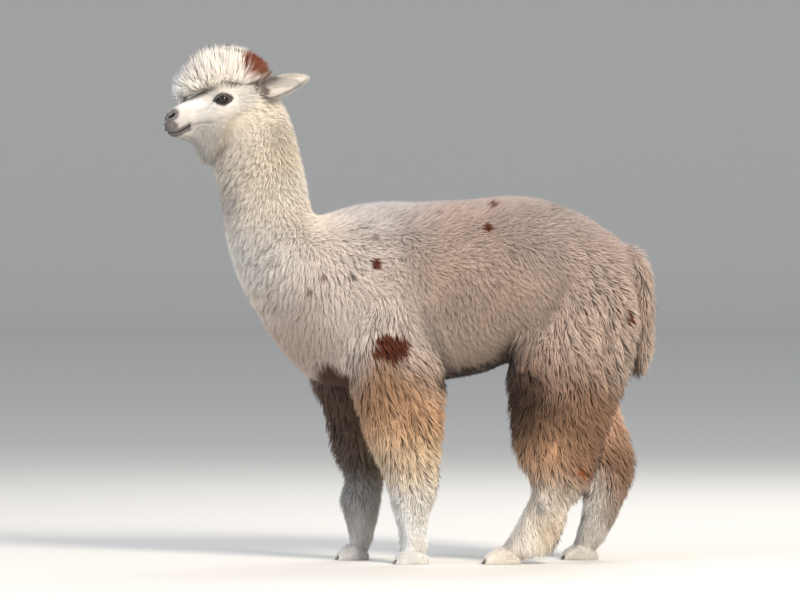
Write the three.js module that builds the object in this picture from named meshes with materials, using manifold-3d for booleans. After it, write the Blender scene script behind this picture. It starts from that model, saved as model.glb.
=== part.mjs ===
// A standing huacaya alpaca, life size, as a still museum model. Millimetres, +Z up.
// It faces -X, its left side is -Y, and its soles stand on the floor at Z = 0.
// Every solid reaches out to the tips of the coat.
import * as THREE from "three";
import { LoftGeometry } from "three/addons/geometries/LoftGeometry.js";
import { mergeVertices } from "three/addons/utils/BufferGeometryUtils.js";
import Module from "manifold-3d";

const wasm = await Module();
wasm.setup();

// ---- Driving dimensions ----

const GAP = 0.3; // left between neighbours that touch
const LEFT = -1; // sides, as the sign of y
const RIGHT = 1;

const ROUND = 2; // superellipse power of an elliptical section
const FULL = 2.3; // power of a fuller, slightly boxed section

// A station is one cross-section, named after the place on the body that it crosses.
// front and back are its two edges in side view, as [x, z]; half is half its width;
// wide is how much wider it is towards its back edge than towards its front edge.
const TORSO = [
  { at: "nape", front: [-509, 1001], back: [-346, 1184], half: 69 },
  { at: "throat", front: [-500, 982], back: [-315, 1146], half: 79 },
  { at: "upper neck", front: [-489, 960], back: [-286, 1076], half: 86 },
  { at: "middle of neck", front: [-481, 920], back: [-264, 980], half: 92 },
  { at: "lower neck", front: [-473, 862], back: [-250, 915], half: 97 },
  { at: "root of neck", front: [-460, 792], back: [-236, 876], half: 107 },
  { at: "crop", front: [-434, 710], back: [-209, 869], half: 125, wide: -0.05 },
  { at: "point of shoulder", front: [-389, 625], back: [-166, 881], half: 150, wide: -0.08 },
  { at: "breast", front: [-324, 528], back: [-116, 895], half: 176, wide: -0.08 },
  { at: "brisket", front: [-221, 445], back: [-51, 904], half: 195, wide: -0.06 },
  { at: "girth", front: [-56, 436], back: [24, 906], half: 206, wide: -0.05 },
  { at: "ribs", front: [94, 454], back: [104, 905], half: 213, wide: -0.05 },
  { at: "belly", front: [171, 468], back: [184, 911], half: 215, wide: -0.04 },
  { at: "flank", front: [239, 493], back: [256, 918], half: 206 },
  { at: "loin", front: [324, 485], back: [326, 910], half: 198 },
  { at: "haunch", front: [406, 455], back: [396, 888], half: 190 },
  { at: "croup", front: [484, 470], back: [466, 849], half: 166 },
  { at: "rump", front: [541, 542], back: [521, 806], half: 126 },
  { at: "dock", front: [567, 612], back: [553, 740], half: 66 },
];

const HEAD = [
  { at: "nose tip", front: [-614, 1090], back: [-612, 1112], half: 15 },
  { at: "nose", front: [-611, 1076], back: [-605, 1126], half: 25, square: FULL },
  { at: "nostril", front: [-597, 1066], back: [-586, 1140], half: 32, square: FULL },
  { at: "lips", front: [-573, 1057], back: [-563, 1154], half: 36, square: FULL },
  { at: "mouth corner", front: [-547, 1046], back: [-541, 1164], half: 40 },
  { at: "cheek", front: [-531, 1025], back: [-514, 1178], half: 48, wide: 0.05 },
  { at: "eye", front: [-519, 1006], back: [-474, 1195], half: 61, wide: 0.12 },
  { at: "brow", front: [-500, 994], back: [-431, 1208], half: 71, wide: 0.1 },
  { at: "ear base", front: [-466, 988], back: [-386, 1206], half: 75, wide: 0.05 },
  { at: "poll", front: [-424, 985], back: [-346, 1181], half: 70 },
  { at: "occiput", front: [-388, 1000], back: [-322, 1140], half: 56 },
];

const HEAD_WIDEST = Math.max(...HEAD.map((station) => station.half));

const TOPKNOT = [
  { at: "fringe", front: [-583, 1155], back: [-580, 1192], half: 26 },
  { at: "forelock", front: [-572, 1145], back: [-565, 1233], half: 54 },
  { at: "front of crown", front: [-550, 1149], back: [-540, 1262], half: 73 },
  { at: "fore crown", front: [-512, 1160], back: [-504, 1280], half: 83 },
  { at: "crown", front: [-469, 1170], back: [-461, 1290], half: 88 },
  { at: "hind crown", front: [-427, 1166], back: [-417, 1286], half: 86 },
  { at: "back of crown", front: [-392, 1158], back: [-377, 1263], half: 73 },
  { at: "nape tuft", front: [-364, 1166], back: [-352, 1222], half: 44 },
];

const TAIL = [
  { at: "dock", front: [499, 775], back: [528, 806], half: 26 },
  { at: "root", front: [520, 745], back: [575, 787], half: 40 },
  { at: "upper tail", front: [540, 706], back: [602, 745], half: 46 },
  { at: "middle of tail", front: [549, 655], back: [611, 682], half: 49 },
  { at: "lower tail", front: [553, 600], back: [614, 612], half: 49 },
  { at: "end of tail", front: [551, 548], back: [610, 546], half: 45 },
  { at: "tuft", front: [551, 505], back: [597, 502], half: 34 },
  { at: "tip of tail", front: [560, 474], back: [578, 474], half: 15 },
];

// Each leg's stations also give y, the distance of the section's middle from the midplane.
const LEGS = {
  fore_leg_left: {
    side: LEFT,
    stations: [
      { at: "shoulder blade", front: [-96, 742], back: [11, 750], half: 42, y: 128 },
      { at: "shoulder", front: [-151, 630], back: [34, 642], half: 62, y: 132 },
      { at: "upper arm", front: [-169, 530], back: [69, 550], half: 74, y: 126 },
      { at: "elbow", front: [-159, 445], back: [96, 478], half: 78, y: 116 },
      { at: "forearm", front: [-139, 380], back: [89, 392], half: 72, y: 108 },
      { at: "lower forearm", front: [-116, 312], back: [84, 305], half: 65, y: 102 },
      { at: "knee", front: [-86, 250], back: [76, 235], half: 57, y: 99 },
      { at: "shin", front: [-61, 190], back: [69, 175], half: 49, y: 98 },
      { at: "cannon", front: [-47, 135], back: [50, 120], half: 39, y: 98 },
      { at: "fetlock", front: [-31, 80], back: [43, 78], half: 30, y: 98 },
      { at: "pastern", front: [-25, 34], back: [39, 32], half: 28, y: 98 },
      { at: "coronet", front: [-22, 14], back: [36, 12], half: 24, y: 98 },
    ],
    middleCut: [[-84, 222], [80, 206]],
    footCut: [[-40, 54], [50, 54]],
    toeTip: -44,
    heel: 40,
    y: 98,
  },
  fore_leg_right: {
    side: RIGHT,
    stations: [
      { at: "shoulder blade", front: [-121, 742], back: [-14, 750], half: 42, y: 128 },
      { at: "shoulder", front: [-206, 630], back: [-21, 642], half: 62, y: 132 },
      { at: "upper arm", front: [-258, 530], back: [-26, 542], half: 72, y: 126 },
      { at: "elbow", front: [-257, 452], back: [-21, 458], half: 73, y: 114 },
      { at: "forearm", front: [-231, 396], back: [-24, 396], half: 68, y: 106 },
      { at: "lower forearm", front: [-216, 328], back: [-38, 323], half: 62, y: 101 },
      { at: "knee", front: [-196, 264], back: [-54, 258], half: 54, y: 98 },
      { at: "shin", front: [-171, 208], back: [-64, 202], half: 46, y: 98 },
      { at: "cannon", front: [-180, 154], back: [-72, 150], half: 42, y: 98 },
      { at: "fetlock", front: [-166, 100], back: [-82, 98], half: 35, y: 98 },
      { at: "pastern", front: [-154, 50], back: [-98, 52], half: 28, y: 98 },
      { at: "coronet", front: [-156, 16], back: [-104, 16], half: 24, y: 98 },
    ],
    middleCut: [[-205, 238], [-45, 232]],
    footCut: [[-175, 56], [-80, 60]],
    toeTip: -189,
    heel: -110,
    y: 98,
  },
  hind_leg_left: {
    side: LEFT,
    stations: [
      { at: "hip", front: [344, 742], back: [464, 780], half: 40, y: 118 },
      { at: "top of thigh", front: [279, 655], back: [551, 700], half: 66, y: 122 },
      { at: "thigh", front: [241, 568], back: [572, 610], half: 84, y: 122 },
      { at: "stifle", front: [231, 480], back: [559, 505], half: 87, y: 118 },
      { at: "below stifle", front: [239, 400], back: [518, 402], half: 81, y: 113 },
      { at: "gaskin", front: [244, 325], back: [486, 322], half: 71, y: 108 },
      { at: "lower gaskin", front: [261, 265], back: [467, 252], half: 61, y: 105 },
      { at: "hock", front: [291, 218], back: [444, 196], half: 51, y: 104 },
      { at: "shank", front: [297, 183], back: [404, 150], half: 42, y: 104 },
      { at: "cannon", front: [281, 142], back: [388, 98], half: 37, y: 104 },
      { at: "feather", front: [259, 98], back: [356, 44], half: 33, y: 104 },
      { at: "fetlock", front: [239, 62], back: [314, 20], half: 29, y: 104 },
      { at: "pastern", front: [222, 36], back: [274, 10], half: 26, y: 104 },
    ],
    middleCut: [[282, 206], [440, 168]],
    footCut: [[226, 62], [292, 6]],
    toeTip: 178,
    heel: 268,
    y: 104,
  },
  hind_leg_right: {
    side: RIGHT,
    stations: [
      { at: "hip", front: [374, 742], back: [489, 780], half: 40, y: 118 },
      { at: "top of thigh", front: [319, 655], back: [549, 692], half: 66, y: 122 },
      { at: "thigh", front: [291, 568], back: [566, 600], half: 82, y: 122 },
      { at: "stifle", front: [299, 480], back: [554, 500], half: 84, y: 118 },
      { at: "below stifle", front: [326, 402], back: [531, 403], half: 78, y: 113 },
      { at: "gaskin", front: [361, 328], back: [551, 332], half: 68, y: 108 },
      { at: "lower gaskin", front: [394, 264], back: [567, 262], half: 60, y: 105 },
      { at: "hock", front: [424, 206], back: [561, 206], half: 51, y: 104 },
      { at: "shank", front: [431, 158], back: [541, 156], half: 44, y: 104 },
      { at: "cannon", front: [428, 114], back: [522, 108], half: 39, y: 104 },
      { at: "feather", front: [419, 72], back: [496, 64], half: 32, y: 104 },
      { at: "pastern", front: [411, 34], back: [471, 30], half: 27, y: 104 },
      { at: "coronet", front: [412, 14], back: [466, 12], half: 23, y: 104 },
    ],
    middleCut: [[418, 182], [556, 182]],
    footCut: [[400, 50], [486, 50]],
    toeTip: 379,
    heel: 468,
    y: 104,
  },
};

const HEAD_CUT = [[-506, 997], [-338, 1170]]; // from the throat up to the nape
const NECK_CUT = [[-430, 655], [-222, 872]]; // from the breast up to the withers

const EYE = { x: -467, z: 1156, y: 43, radius: 18 }; // y is the distance from the midplane
const LID_THICKNESS = 2.4;
const LID_OPENING = { length: 35, height: 22, tilt: 0.12 }; // an almond, its front corner lower

const NOSTRIL = { x: -597, z: 1115, y: 30, length: 17, height: 8, depth: 14, tilt: 0.5 };
const MOUTH = { front: [-622, 1080], middle: [-590, 1066], corner: [-549, 1089], gap: 1.2 };
const LIP_DEPTH = 7; // how far the groove between the lips goes in
const LIP_SPLIT = { width: 2, top: 1104, depth: 5 };

const EAR = [
  { at: "root", front: [-382, 1168], back: [-372, 1200], half: 14, y: 56 },
  { at: "base", front: [-366, 1164], back: [-352, 1208], half: 15, y: 61 },
  { at: "cup", front: [-343, 1164], back: [-326, 1214], half: 14, y: 66 },
  { at: "blade", front: [-314, 1173], back: [-300, 1218], half: 11, y: 70 },
  { at: "taper", front: [-286, 1188], back: [-276, 1218], half: 7.5, y: 72 },
  { at: "tip", front: [-263, 1204], back: [-259, 1216], half: 3.5, y: 72 },
];
const EAR_SCOOP = { depth: 8, rim: 5, from: 1, to: 4 }; // hollow side of the ear, between two stations

const TOE = { half: 15, apart: 14, splay: 5, heelHeight: 40, tipHeight: 21, underfoot: 8 };
const NAIL = { length: 24, half: 8.5, height: 15, hover: 1.2, reach: 9 };

// How finely each form is lofted: rings to a span between stations, and points to a ring.
const MESH = {
  torso: { rings: 2, columns: 20 },
  head: { rings: 2, columns: 20 },
  topknot: { rings: 2, columns: 16 },
  tail: { rings: 1, columns: 14 },
  leg: { rings: 1, columns: 14 },
  ear: { rings: 1, columns: 12 },
  toe: { rings: 1, columns: 8 },
  nail: { rings: 1, columns: 6 },
};
const EYEBALL_SEGMENTS = 12; // round the equator of a ball
const NOSTRIL_SEGMENTS = 8;
const CURVE_SEGMENTS = 5; // along a curved edge of a prism

// ---- Solids ----

/** The order of numbers for a sort. */
function ascending(a, b) {
  return a - b;
}

/** A closed geometry as a manifold solid. */
function solidOf(geometry) {
  const bare = new THREE.BufferGeometry().copy(geometry);
  bare.deleteAttribute("normal");
  bare.deleteAttribute("uv");
  const merged = mergeVertices(bare, 1e-3);
  const triVerts = new Uint32Array(merged.index.array);
  const vertProperties = new Float32Array(merged.attributes.position.array);
  return new wasm.Manifold(new wasm.Mesh({ numProp: 3, vertProperties, triVerts }));
}

/** The largest body of a solid, without the slivers that a cut can leave. */
function largest(solid) {
  return solid.decompose().reduce((a, b) => (b.volume() > a.volume() ? b : a));
}

/** A smooth curve through one value of every station. */
function through(stations, pick) {
  return new THREE.CatmullRomCurve3(stations.map(pick), false, "catmullrom", 0.5);
}

/** cos or sin of a superellipse: the value keeps its sign and takes the power 2 / square. */
function rounded(value, square) {
  return Math.sign(value) * Math.abs(value) ** (2 / square);
}

/**
 * A solid lofted through stations, which run from the nose or the top towards the tail or the floor.
 * grow makes it larger on every side, to cut a clear seat for it, or smaller round its girth.
 */
function loft(stations, { rings, columns, side = RIGHT, grow = 0 }) {
  const front = through(stations, (s) => new THREE.Vector3(s.front[0], 0, s.front[1]));
  const back = through(stations, (s) => new THREE.Vector3(s.back[0], 0, s.back[1]));
  const girth = through(stations, (s) => new THREE.Vector3(s.half, (s.y ?? 0) * side, s.square ?? ROUND));
  const widening = through(stations, (s) => new THREE.Vector3(s.wide ?? 0, 0, 0));
  const count = (stations.length - 1) * rings;
  const sections = [];
  for (let i = 0; i <= count; i++) {
    const a = front.getPoint(i / count);
    const b = back.getPoint(i / count);
    const { x: half, y, z: square } = girth.getPoint(i / count);
    const wide = widening.getPoint(i / count).x;
    const middle = a.clone().add(b).multiplyScalar(0.5);
    const along = b.clone().sub(a).multiplyScalar(0.5);
    along.setLength(along.length() + grow);
    if (grow > 0 && (i === 0 || i === count)) {
      const tangent = front.getTangent(i / count).add(back.getTangent(i / count));
      middle.addScaledVector(tangent.normalize(), i === 0 ? -grow : grow);
    }
    const ring = [];
    for (let j = 0; j < columns; j++) {
      const turn = (-2 * Math.PI * j) / columns;
      const c = rounded(Math.cos(turn), square);
      const s = rounded(Math.sin(turn), square);
      const point = middle.clone().addScaledVector(along, c);
      point.y = y + (half + grow) * (1 + wide * c) * s;
      ring.push(point);
    }
    sections.push(ring);
  }
  return solidOf(new LoftGeometry(sections, { capStart: true, capEnd: true }));
}

/** The piece of a solid above the line from p to q in side view, half a gap clear of it. */
function above(solid, [p, q]) {
  const direction = new THREE.Vector2(q[0] - p[0], q[1] - p[1]).normalize();
  const height = direction.x * p[1] - direction.y * p[0];
  return solid.trimByPlane([-direction.y, 0, direction.x], height + GAP / 2);
}

/** The piece of a solid below that line. */
function below(solid, [p, q]) {
  const direction = new THREE.Vector2(q[0] - p[0], q[1] - p[1]).normalize();
  const height = direction.x * p[1] - direction.y * p[0];
  return solid.trimByPlane([direction.y, 0, -direction.x], GAP / 2 - height);
}

/** A ball stretched to half axes [x, y, z], tilted in side view and put at a place. */
function ellipsoid([a, b, c], tilt, [x, y, z], segments) {
  const geometry = new THREE.SphereGeometry(1, segments, Math.round(segments * 0.6));
  geometry.scale(a, b, c).rotateY(tilt).translate(x, y, z);
  return solidOf(geometry);
}

/** An outline in side view, given as a THREE.Shape of x and z, made a prism from y0 to y1. */
function prism(shape, y0, y1) {
  const options = { depth: y1 - y0, bevelEnabled: false, curveSegments: CURVE_SEGMENTS };
  const geometry = new THREE.ExtrudeGeometry(shape, options);
  geometry.rotateX(Math.PI / 2).translate(0, y1, 0);
  return solidOf(geometry);
}

// ---- Head ----

/** The almond outline of the open eye, pointed at both corners. */
function lidOpening() {
  const { length, height, tilt } = LID_OPENING;
  const shape = new THREE.Shape();
  const corner = new THREE.Vector2(length / 2, 0).rotateAround(new THREE.Vector2(), tilt);
  const lift = new THREE.Vector2(0, height).rotateAround(new THREE.Vector2(), tilt);
  shape.moveTo(EYE.x - corner.x, EYE.z - corner.y);
  shape.quadraticCurveTo(EYE.x + lift.x, EYE.z + lift.y, EYE.x + corner.x, EYE.z + corner.y);
  shape.quadraticCurveTo(EYE.x - lift.x, EYE.z - lift.y, EYE.x - corner.x, EYE.z - corner.y);
  return shape;
}

/** The narrow groove between the lips, from the front of the mouth back to its corner. */
function mouthGroove() {
  const { front, middle, corner, gap } = MOUTH;
  const shape = new THREE.Shape();
  shape.moveTo(front[0], front[1] - gap);
  shape.quadraticCurveTo(middle[0], middle[1] - gap, corner[0], corner[1]);
  shape.quadraticCurveTo(middle[0], middle[1] + gap, front[0], front[1] + gap);
  shape.closePath();
  const core = loft(HEAD.slice(1), { ...MESH.head, grow: -LIP_DEPTH });
  return prism(shape, -HEAD_WIDEST, HEAD_WIDEST).subtract(core);
}

/** The groove that splits the upper lip under the nose. */
function lipSplit() {
  const { width, top, depth } = LIP_SPLIT;
  const geometry = new THREE.CylinderGeometry(width, width, top - MOUTH.front[1], 8);
  geometry.scale(depth / width, 1, 1).rotateX(Math.PI / 2);
  return solidOf(geometry.translate(HEAD[0].front[0] - 1, 0, (top + MOUTH.front[1]) / 2));
}

/** The eyeball of one side; grow clears a socket for it. */
function eyeball(side, grow = 0) {
  const r = EYE.radius + grow;
  return ellipsoid([r, r, r], 0, [EYE.x, side * EYE.y, EYE.z], EYEBALL_SEGMENTS);
}

/** The head with lids round its eye sockets, nostrils and a closed mouth. */
function headSolid(grow = 0) {
  const skull = loft(HEAD, { ...MESH.head, grow });
  if (grow) return skull;
  let head = skull;
  for (const side of [LEFT, RIGHT]) {
    const lids = eyeball(side, LID_THICKNESS);
    const [y0, y1] = [side * EYE.y, side * (EYE.y + 2 * EYE.radius)].sort(ascending);
    const opening = prism(lidOpening(), y0, y1);
    const { x, y, z, length, height, depth, tilt } = NOSTRIL;
    const halves = [length / 2, depth / 2, height / 2];
    const nostril = ellipsoid(halves, tilt, [x, side * y, z], NOSTRIL_SEGMENTS);
    head = head.add(lids).subtract(opening).subtract(eyeball(side, GAP)).subtract(nostril);
  }
  return largest(head.subtract(mouthGroove()).subtract(lipSplit()));
}

/** One ear: a leaf, scooped hollow on its outer side. */
function earSolid(side) {
  const leaf = loft(EAR, { ...MESH.ear, side });
  const { depth, rim, from, to } = EAR_SCOOP;
  const hollow = EAR.slice(from, to + 1).map((s) => ({
    front: [s.front[0] + rim, s.front[1] + rim],
    back: [s.back[0] - rim, s.back[1] - rim],
    half: Math.min(depth, s.half * 0.75),
    y: s.y + s.half,
  }));
  return leaf.subtract(loft(hollow, { ...MESH.ear, side }));
}

// ---- Feet ----

/** One toe with a flat sole, as a loft from tip to heel; outer is -1 or 1 within the foot. */
function toeStations({ toeTip, heel, y }, outer) {
  const length = heel - toeTip - NAIL.reach;
  const { half, apart, splay, heelHeight, tipHeight, underfoot } = TOE;
  const station = (share, height, width) => ({
    front: [heel - share * length, -underfoot],
    back: [heel - share * length, height],
    half: width,
    y: y + outer * (apart + splay * share),
    square: FULL,
  });
  return [
    station(1, tipHeight * 0.7, half * 0.6),
    station(0.95, tipHeight, half * 0.85),
    station(0.8, (heelHeight + tipHeight) / 2, half),
    station(0.5, heelHeight, half * 1.05),
    station(0.2, heelHeight * 0.85, half),
    station(0, heelHeight * 0.45, half * 0.6),
  ];
}

/** One nail, a blunt hook over the tip of its toe, that just clears the floor. */
function nailStations({ toeTip, y }, outer) {
  const { length, half, height, hover } = NAIL;
  const middle = y + outer * (TOE.apart + TOE.splay);
  const station = ([x0, z0], [x1, z1], width) => ({
    front: [toeTip + x0, z0],
    back: [toeTip + x1, z1],
    half: width,
    y: middle,
  });
  return [
    station([0, hover], [1, hover + 3], half * 0.45),
    station([3, hover], [5, height * 0.55], half * 0.75),
    station([length * 0.4, hover + 1], [length * 0.5, height], half),
    station([length * 0.75, 6], [length * 0.9, height + 4], half * 0.8),
  ];
}

/** The piece of a solid above the floor. */
function onFloor(solid) {
  return solid.trimByPlane([0, 0, 1], 0);
}

/** The nodes of one leg, and its loft grown by the gap for the trunk to be cut by. */
function legParts(name, leg) {
  const { side, stations, middleCut, footCut } = leg;
  const whole = loft(stations, { ...MESH.leg, side });
  const shank = below(whole, middleCut);
  const parts = {
    [`${name}_upper`]: above(whole, middleCut),
    [`${name}_lower`]: above(shank, footCut),
  };
  let foot = onFloor(below(shank, footCut));
  for (const [label, outer] of [["inner", -1], ["outer", 1]]) {
    const toe = onFloor(loft(toeStations(leg, outer), { ...MESH.toe, side }));
    const nail = nailStations(leg, outer);
    foot = foot.add(below(toe, footCut)).subtract(loft(nail, { ...MESH.nail, side, grow: GAP }));
    parts[`${name}_nail_${label}`] = loft(nail, { ...MESH.nail, side });
  }
  parts[`${name}_foot`] = largest(foot);
  return { parts, seat: loft(stations, { ...MESH.leg, side, grow: GAP }) };
}

// ---- Assembly ----

const FINISH = {
  fawnFleece: { color: 0xb9a48f, roughness: 0.95 },
  creamFleece: { color: 0xd8c9ab, roughness: 0.95 },
  whiteHair: { color: 0xe6e0d4, roughness: 0.9 },
  brownFleece: { color: 0x8e7460, roughness: 0.95 },
  nail: { color: 0x4a4038, roughness: 0.5 },
  eye: { color: 0x14100e, roughness: 0.08 },
};

/** The finish of one part of a leg. */
function legFinish(part) {
  if (part.includes("nail")) return FINISH.nail;
  return part.endsWith("upper") ? FINISH.brownFleece : FINISH.whiteHair;
}

const alpaca = new THREE.Group();

/** Adds a solid to the model as a named mesh with its own material. */
function addPart(name, solid, finish) {
  const { numProp, vertProperties, triVerts } = solid.getMesh();
  const positions = new Float32Array((vertProperties.length / numProp) * 3);
  for (let i = 0; i * numProp < vertProperties.length; i++) {
    positions.set(vertProperties.subarray(i * numProp, i * numProp + 3), i * 3);
  }
  const geometry = new THREE.BufferGeometry();
  geometry.setAttribute("position", new THREE.BufferAttribute(positions, 3));
  geometry.setIndex(new THREE.BufferAttribute(triVerts, 1));
  geometry.computeVertexNormals();
  const mesh = new THREE.Mesh(geometry, new THREE.MeshStandardMaterial({ metalness: 0, ...finish }));
  mesh.name = name;
  alpaca.add(mesh);
}

let torso = loft(TORSO, MESH.torso);
const torsoSeat = loft(TORSO, { ...MESH.torso, grow: GAP });
const legSeats = [];
for (const [name, leg] of Object.entries(LEGS)) {
  const { parts, seat } = legParts(name, leg);
  for (const [part, solid] of Object.entries(parts)) {
    addPart(part, solid, legFinish(part));
  }
  legSeats.push(seat);
  torso = torso.subtract(seat);
}

const headSeat = above(headSolid(GAP), HEAD_CUT);
addPart("head", largest(above(headSolid(), HEAD_CUT)), FINISH.whiteHair);
addPart("neck", largest(above(below(torso, HEAD_CUT), NECK_CUT)), FINISH.creamFleece);
addPart("trunk", largest(below(torso, NECK_CUT)), FINISH.fawnFleece);

let tail = loft(TAIL, MESH.tail).subtract(torsoSeat);
for (const seat of legSeats) tail = tail.subtract(seat);
addPart("tail", largest(tail), FINISH.fawnFleece);

let topknot = loft(TOPKNOT, MESH.topknot).subtract(headSeat).subtract(torsoSeat);
for (const [label, side] of [["left", LEFT], ["right", RIGHT]]) {
  const ear = largest(earSolid(side).subtract(headSeat).subtract(torsoSeat));
  addPart(`ear_${label}`, ear, FINISH.whiteHair);
  addPart(`eye_${label}`, eyeball(side), FINISH.eye);
  topknot = topknot.subtract(loft(EAR, { ...MESH.ear, side, grow: GAP }));
}
addPart("topknot", largest(topknot), FINISH.whiteHair);

export default alpaca;
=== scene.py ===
"""A standing huacaya alpaca, life size, as a still museum model: skin, a coat of tufts, eyes, nails.

The tables hold millimetres; everything built is in metres. The animal faces -X and its left side is -Y.
"""
from __future__ import annotations

import logging
import math
from dataclasses import dataclass, replace
from enum import Enum
from typing import NamedTuple

import bpy
import numpy as np
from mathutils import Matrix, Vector


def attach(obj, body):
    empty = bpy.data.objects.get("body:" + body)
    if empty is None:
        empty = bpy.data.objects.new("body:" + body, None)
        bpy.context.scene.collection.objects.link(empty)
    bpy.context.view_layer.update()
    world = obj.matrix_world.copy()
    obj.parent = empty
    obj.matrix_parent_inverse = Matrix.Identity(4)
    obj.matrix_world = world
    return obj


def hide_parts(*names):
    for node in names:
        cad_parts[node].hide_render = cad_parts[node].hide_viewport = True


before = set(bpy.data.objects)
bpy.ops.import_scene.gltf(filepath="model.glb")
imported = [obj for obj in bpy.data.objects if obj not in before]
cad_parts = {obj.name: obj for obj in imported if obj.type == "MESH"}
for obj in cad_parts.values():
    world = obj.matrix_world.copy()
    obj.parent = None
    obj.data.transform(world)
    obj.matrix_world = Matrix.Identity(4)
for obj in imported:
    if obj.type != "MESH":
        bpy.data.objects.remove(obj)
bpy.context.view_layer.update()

LOG = logging.getLogger("alpaca")
MM = 0.001
LEFT, RIGHT = -1, 1
ROUND, FULL = 2.0, 2.3  # powers of a superellipse: an ellipse, and a fuller section
SOLE = 0.4 * MM  # the lowest that skin and hair hang
BAKE_MAP = "OFBake"
TINT = "tint"  # the colour attribute of skin and coat

Array = np.ndarray
Socket = bpy.types.NodeSocket
Point = tuple[float, float, float]


# ---- The body's measures ----

class Station(NamedTuple):
    """One cross-section: its two edges in side view, its width, and the coat that grows on it (mm)."""

    front_x: float
    front_z: float
    back_x: float
    back_z: float
    half: float  # half its width, coat included
    depth: float  # of the coat over the skin
    length: float  # of a tuft
    width: float  # of a tuft
    y: float = 0.0  # distance of the section's middle from the midplane
    wide: float = 0.0  # how much wider it is towards the back edge than towards the front
    square: float = ROUND


def stations(*rows: tuple[float, ...]) -> tuple[Station, ...]:
    """Cross-sections from rows of their measures, in the order of Station's fields."""
    return tuple(Station(*row) for row in rows)


TORSO = stations(
    (-509, 1001, -346, 1184, 69, 8, 15, 3.2),  # nape
    (-500, 982, -315, 1146, 79, 11, 18, 3.4),  # throat
    (-489, 960, -286, 1076, 86, 12, 19, 3.4),
    (-481, 920, -264, 980, 92, 13, 20, 3.5),  # middle of neck
    (-473, 862, -250, 915, 97, 14, 22, 3.6),
    (-460, 792, -236, 876, 107, 15, 24, 3.8),  # root of neck
    (-434, 710, -209, 869, 125, 16, 26, 4.0, 0, -0.05),
    (-389, 625, -166, 881, 150, 17, 29, 4.2, 0, -0.08),  # point of shoulder
    (-324, 528, -116, 895, 176, 18, 30, 4.2, 0, -0.08),
    (-221, 445, -51, 904, 195, 18, 30, 4.2, 0, -0.06),  # brisket
    (-56, 436, 24, 906, 206, 17, 29, 4.2, 0, -0.05),
    (94, 454, 104, 905, 213, 16, 26, 4.2, 0, -0.05),  # ribs
    (171, 468, 184, 911, 215, 16, 26, 4.2, 0, -0.04),
    (239, 493, 256, 918, 206, 16, 26, 4.2),  # flank
    (324, 485, 326, 910, 198, 15, 25, 4.2),
    (406, 455, 396, 888, 190, 16, 26, 4.2),  # haunch
    (484, 470, 466, 849, 166, 16, 27, 4.2),
    (541, 542, 521, 806, 126, 17, 29, 4.2),  # rump
    (567, 612, 553, 740, 66, 17, 29, 4.2),
)

HEAD = stations(
    (-614, 1090, -612, 1112, 15, 0.5, 4, 1.3),  # nose tip
    (-611, 1076, -605, 1126, 25, 0.6, 4, 1.4, 0, 0, FULL),
    (-597, 1066, -586, 1140, 32, 0.8, 5, 1.6, 0, 0, FULL),  # nostril
    (-573, 1057, -563, 1154, 36, 1.0, 6, 1.9, 0, 0, FULL),
    (-547, 1046, -541, 1164, 40, 1.4, 8, 2.2),  # mouth corner
    (-531, 1025, -514, 1178, 48, 2.2, 11, 2.6, 0, 0.05),
    (-519, 1006, -474, 1195, 61, 3.0, 13, 2.8, 0, 0.12),  # eye
    (-500, 994, -431, 1208, 71, 5.0, 15, 3.2, 0, 0.1),
    (-466, 988, -386, 1206, 75, 8.0, 18, 3.6, 0, 0.05),  # ear base
    (-424, 985, -346, 1181, 70, 10, 20, 4.0),
    (-388, 1000, -322, 1140, 56, 11, 22, 4.2),
)

TOPKNOT = stations(
    (-574, 1160, -573, 1194, 26, 11, 20, 3.2),  # fringe
    (-567, 1153, -562, 1231, 54, 18, 30, 3.5),
    (-550, 1155, -540, 1260, 73, 22, 42, 3.7),
    (-512, 1160, -504, 1280, 83, 25, 64, 3.9),
    (-469, 1170, -461, 1290, 88, 26, 68, 3.9),  # crown
    (-427, 1166, -417, 1286, 86, 25, 60, 3.9),
    (-392, 1158, -377, 1263, 73, 21, 44, 3.8),
    (-364, 1166, -352, 1222, 44, 13, 26, 3.6),  # nape tuft
)

TAIL = stations(
    (499, 775, 528, 806, 26, 12, 34, 5.0),  # dock
    (520, 745, 575, 787, 40, 16, 42, 5.2),
    (540, 706, 602, 745, 46, 18, 48, 5.4),
    (549, 655, 611, 682, 49, 19, 52, 5.4),
    (553, 600, 614, 612, 49, 19, 54, 5.4),
    (551, 548, 610, 546, 45, 17, 54, 5.4),
    (551, 505, 597, 502, 34, 13, 48, 5.2),
    (560, 474, 578, 474, 15, 6, 36, 5.0),  # tip
)

FORE_LEFT = stations(
    (-96, 742, 11, 750, 42, 16, 38, 5.4, 128),  # blade
    (-151, 630, 34, 642, 62, 18, 40, 5.4, 132),
    (-169, 530, 69, 550, 74, 20, 44, 5.6, 126),
    (-159, 445, 96, 478, 78, 21, 48, 5.8, 116),  # elbow
    (-139, 380, 89, 392, 72, 21, 50, 5.8, 108),
    (-116, 312, 84, 305, 65, 20, 48, 5.6, 102),
    (-86, 250, 76, 235, 57, 18, 42, 5.2, 99),  # knee
    (-61, 190, 69, 175, 49, 15, 34, 4.6, 98),
    (-47, 135, 50, 120, 39, 9, 24, 3.8, 98),
    (-31, 80, 43, 78, 30, 5, 20, 3.0, 98),  # fetlock
    (-25, 34, 39, 32, 28, 4, 17, 2.6, 98),
    (-22, 14, 36, 12, 24, 3, 14, 2.4, 98),
)

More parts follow.
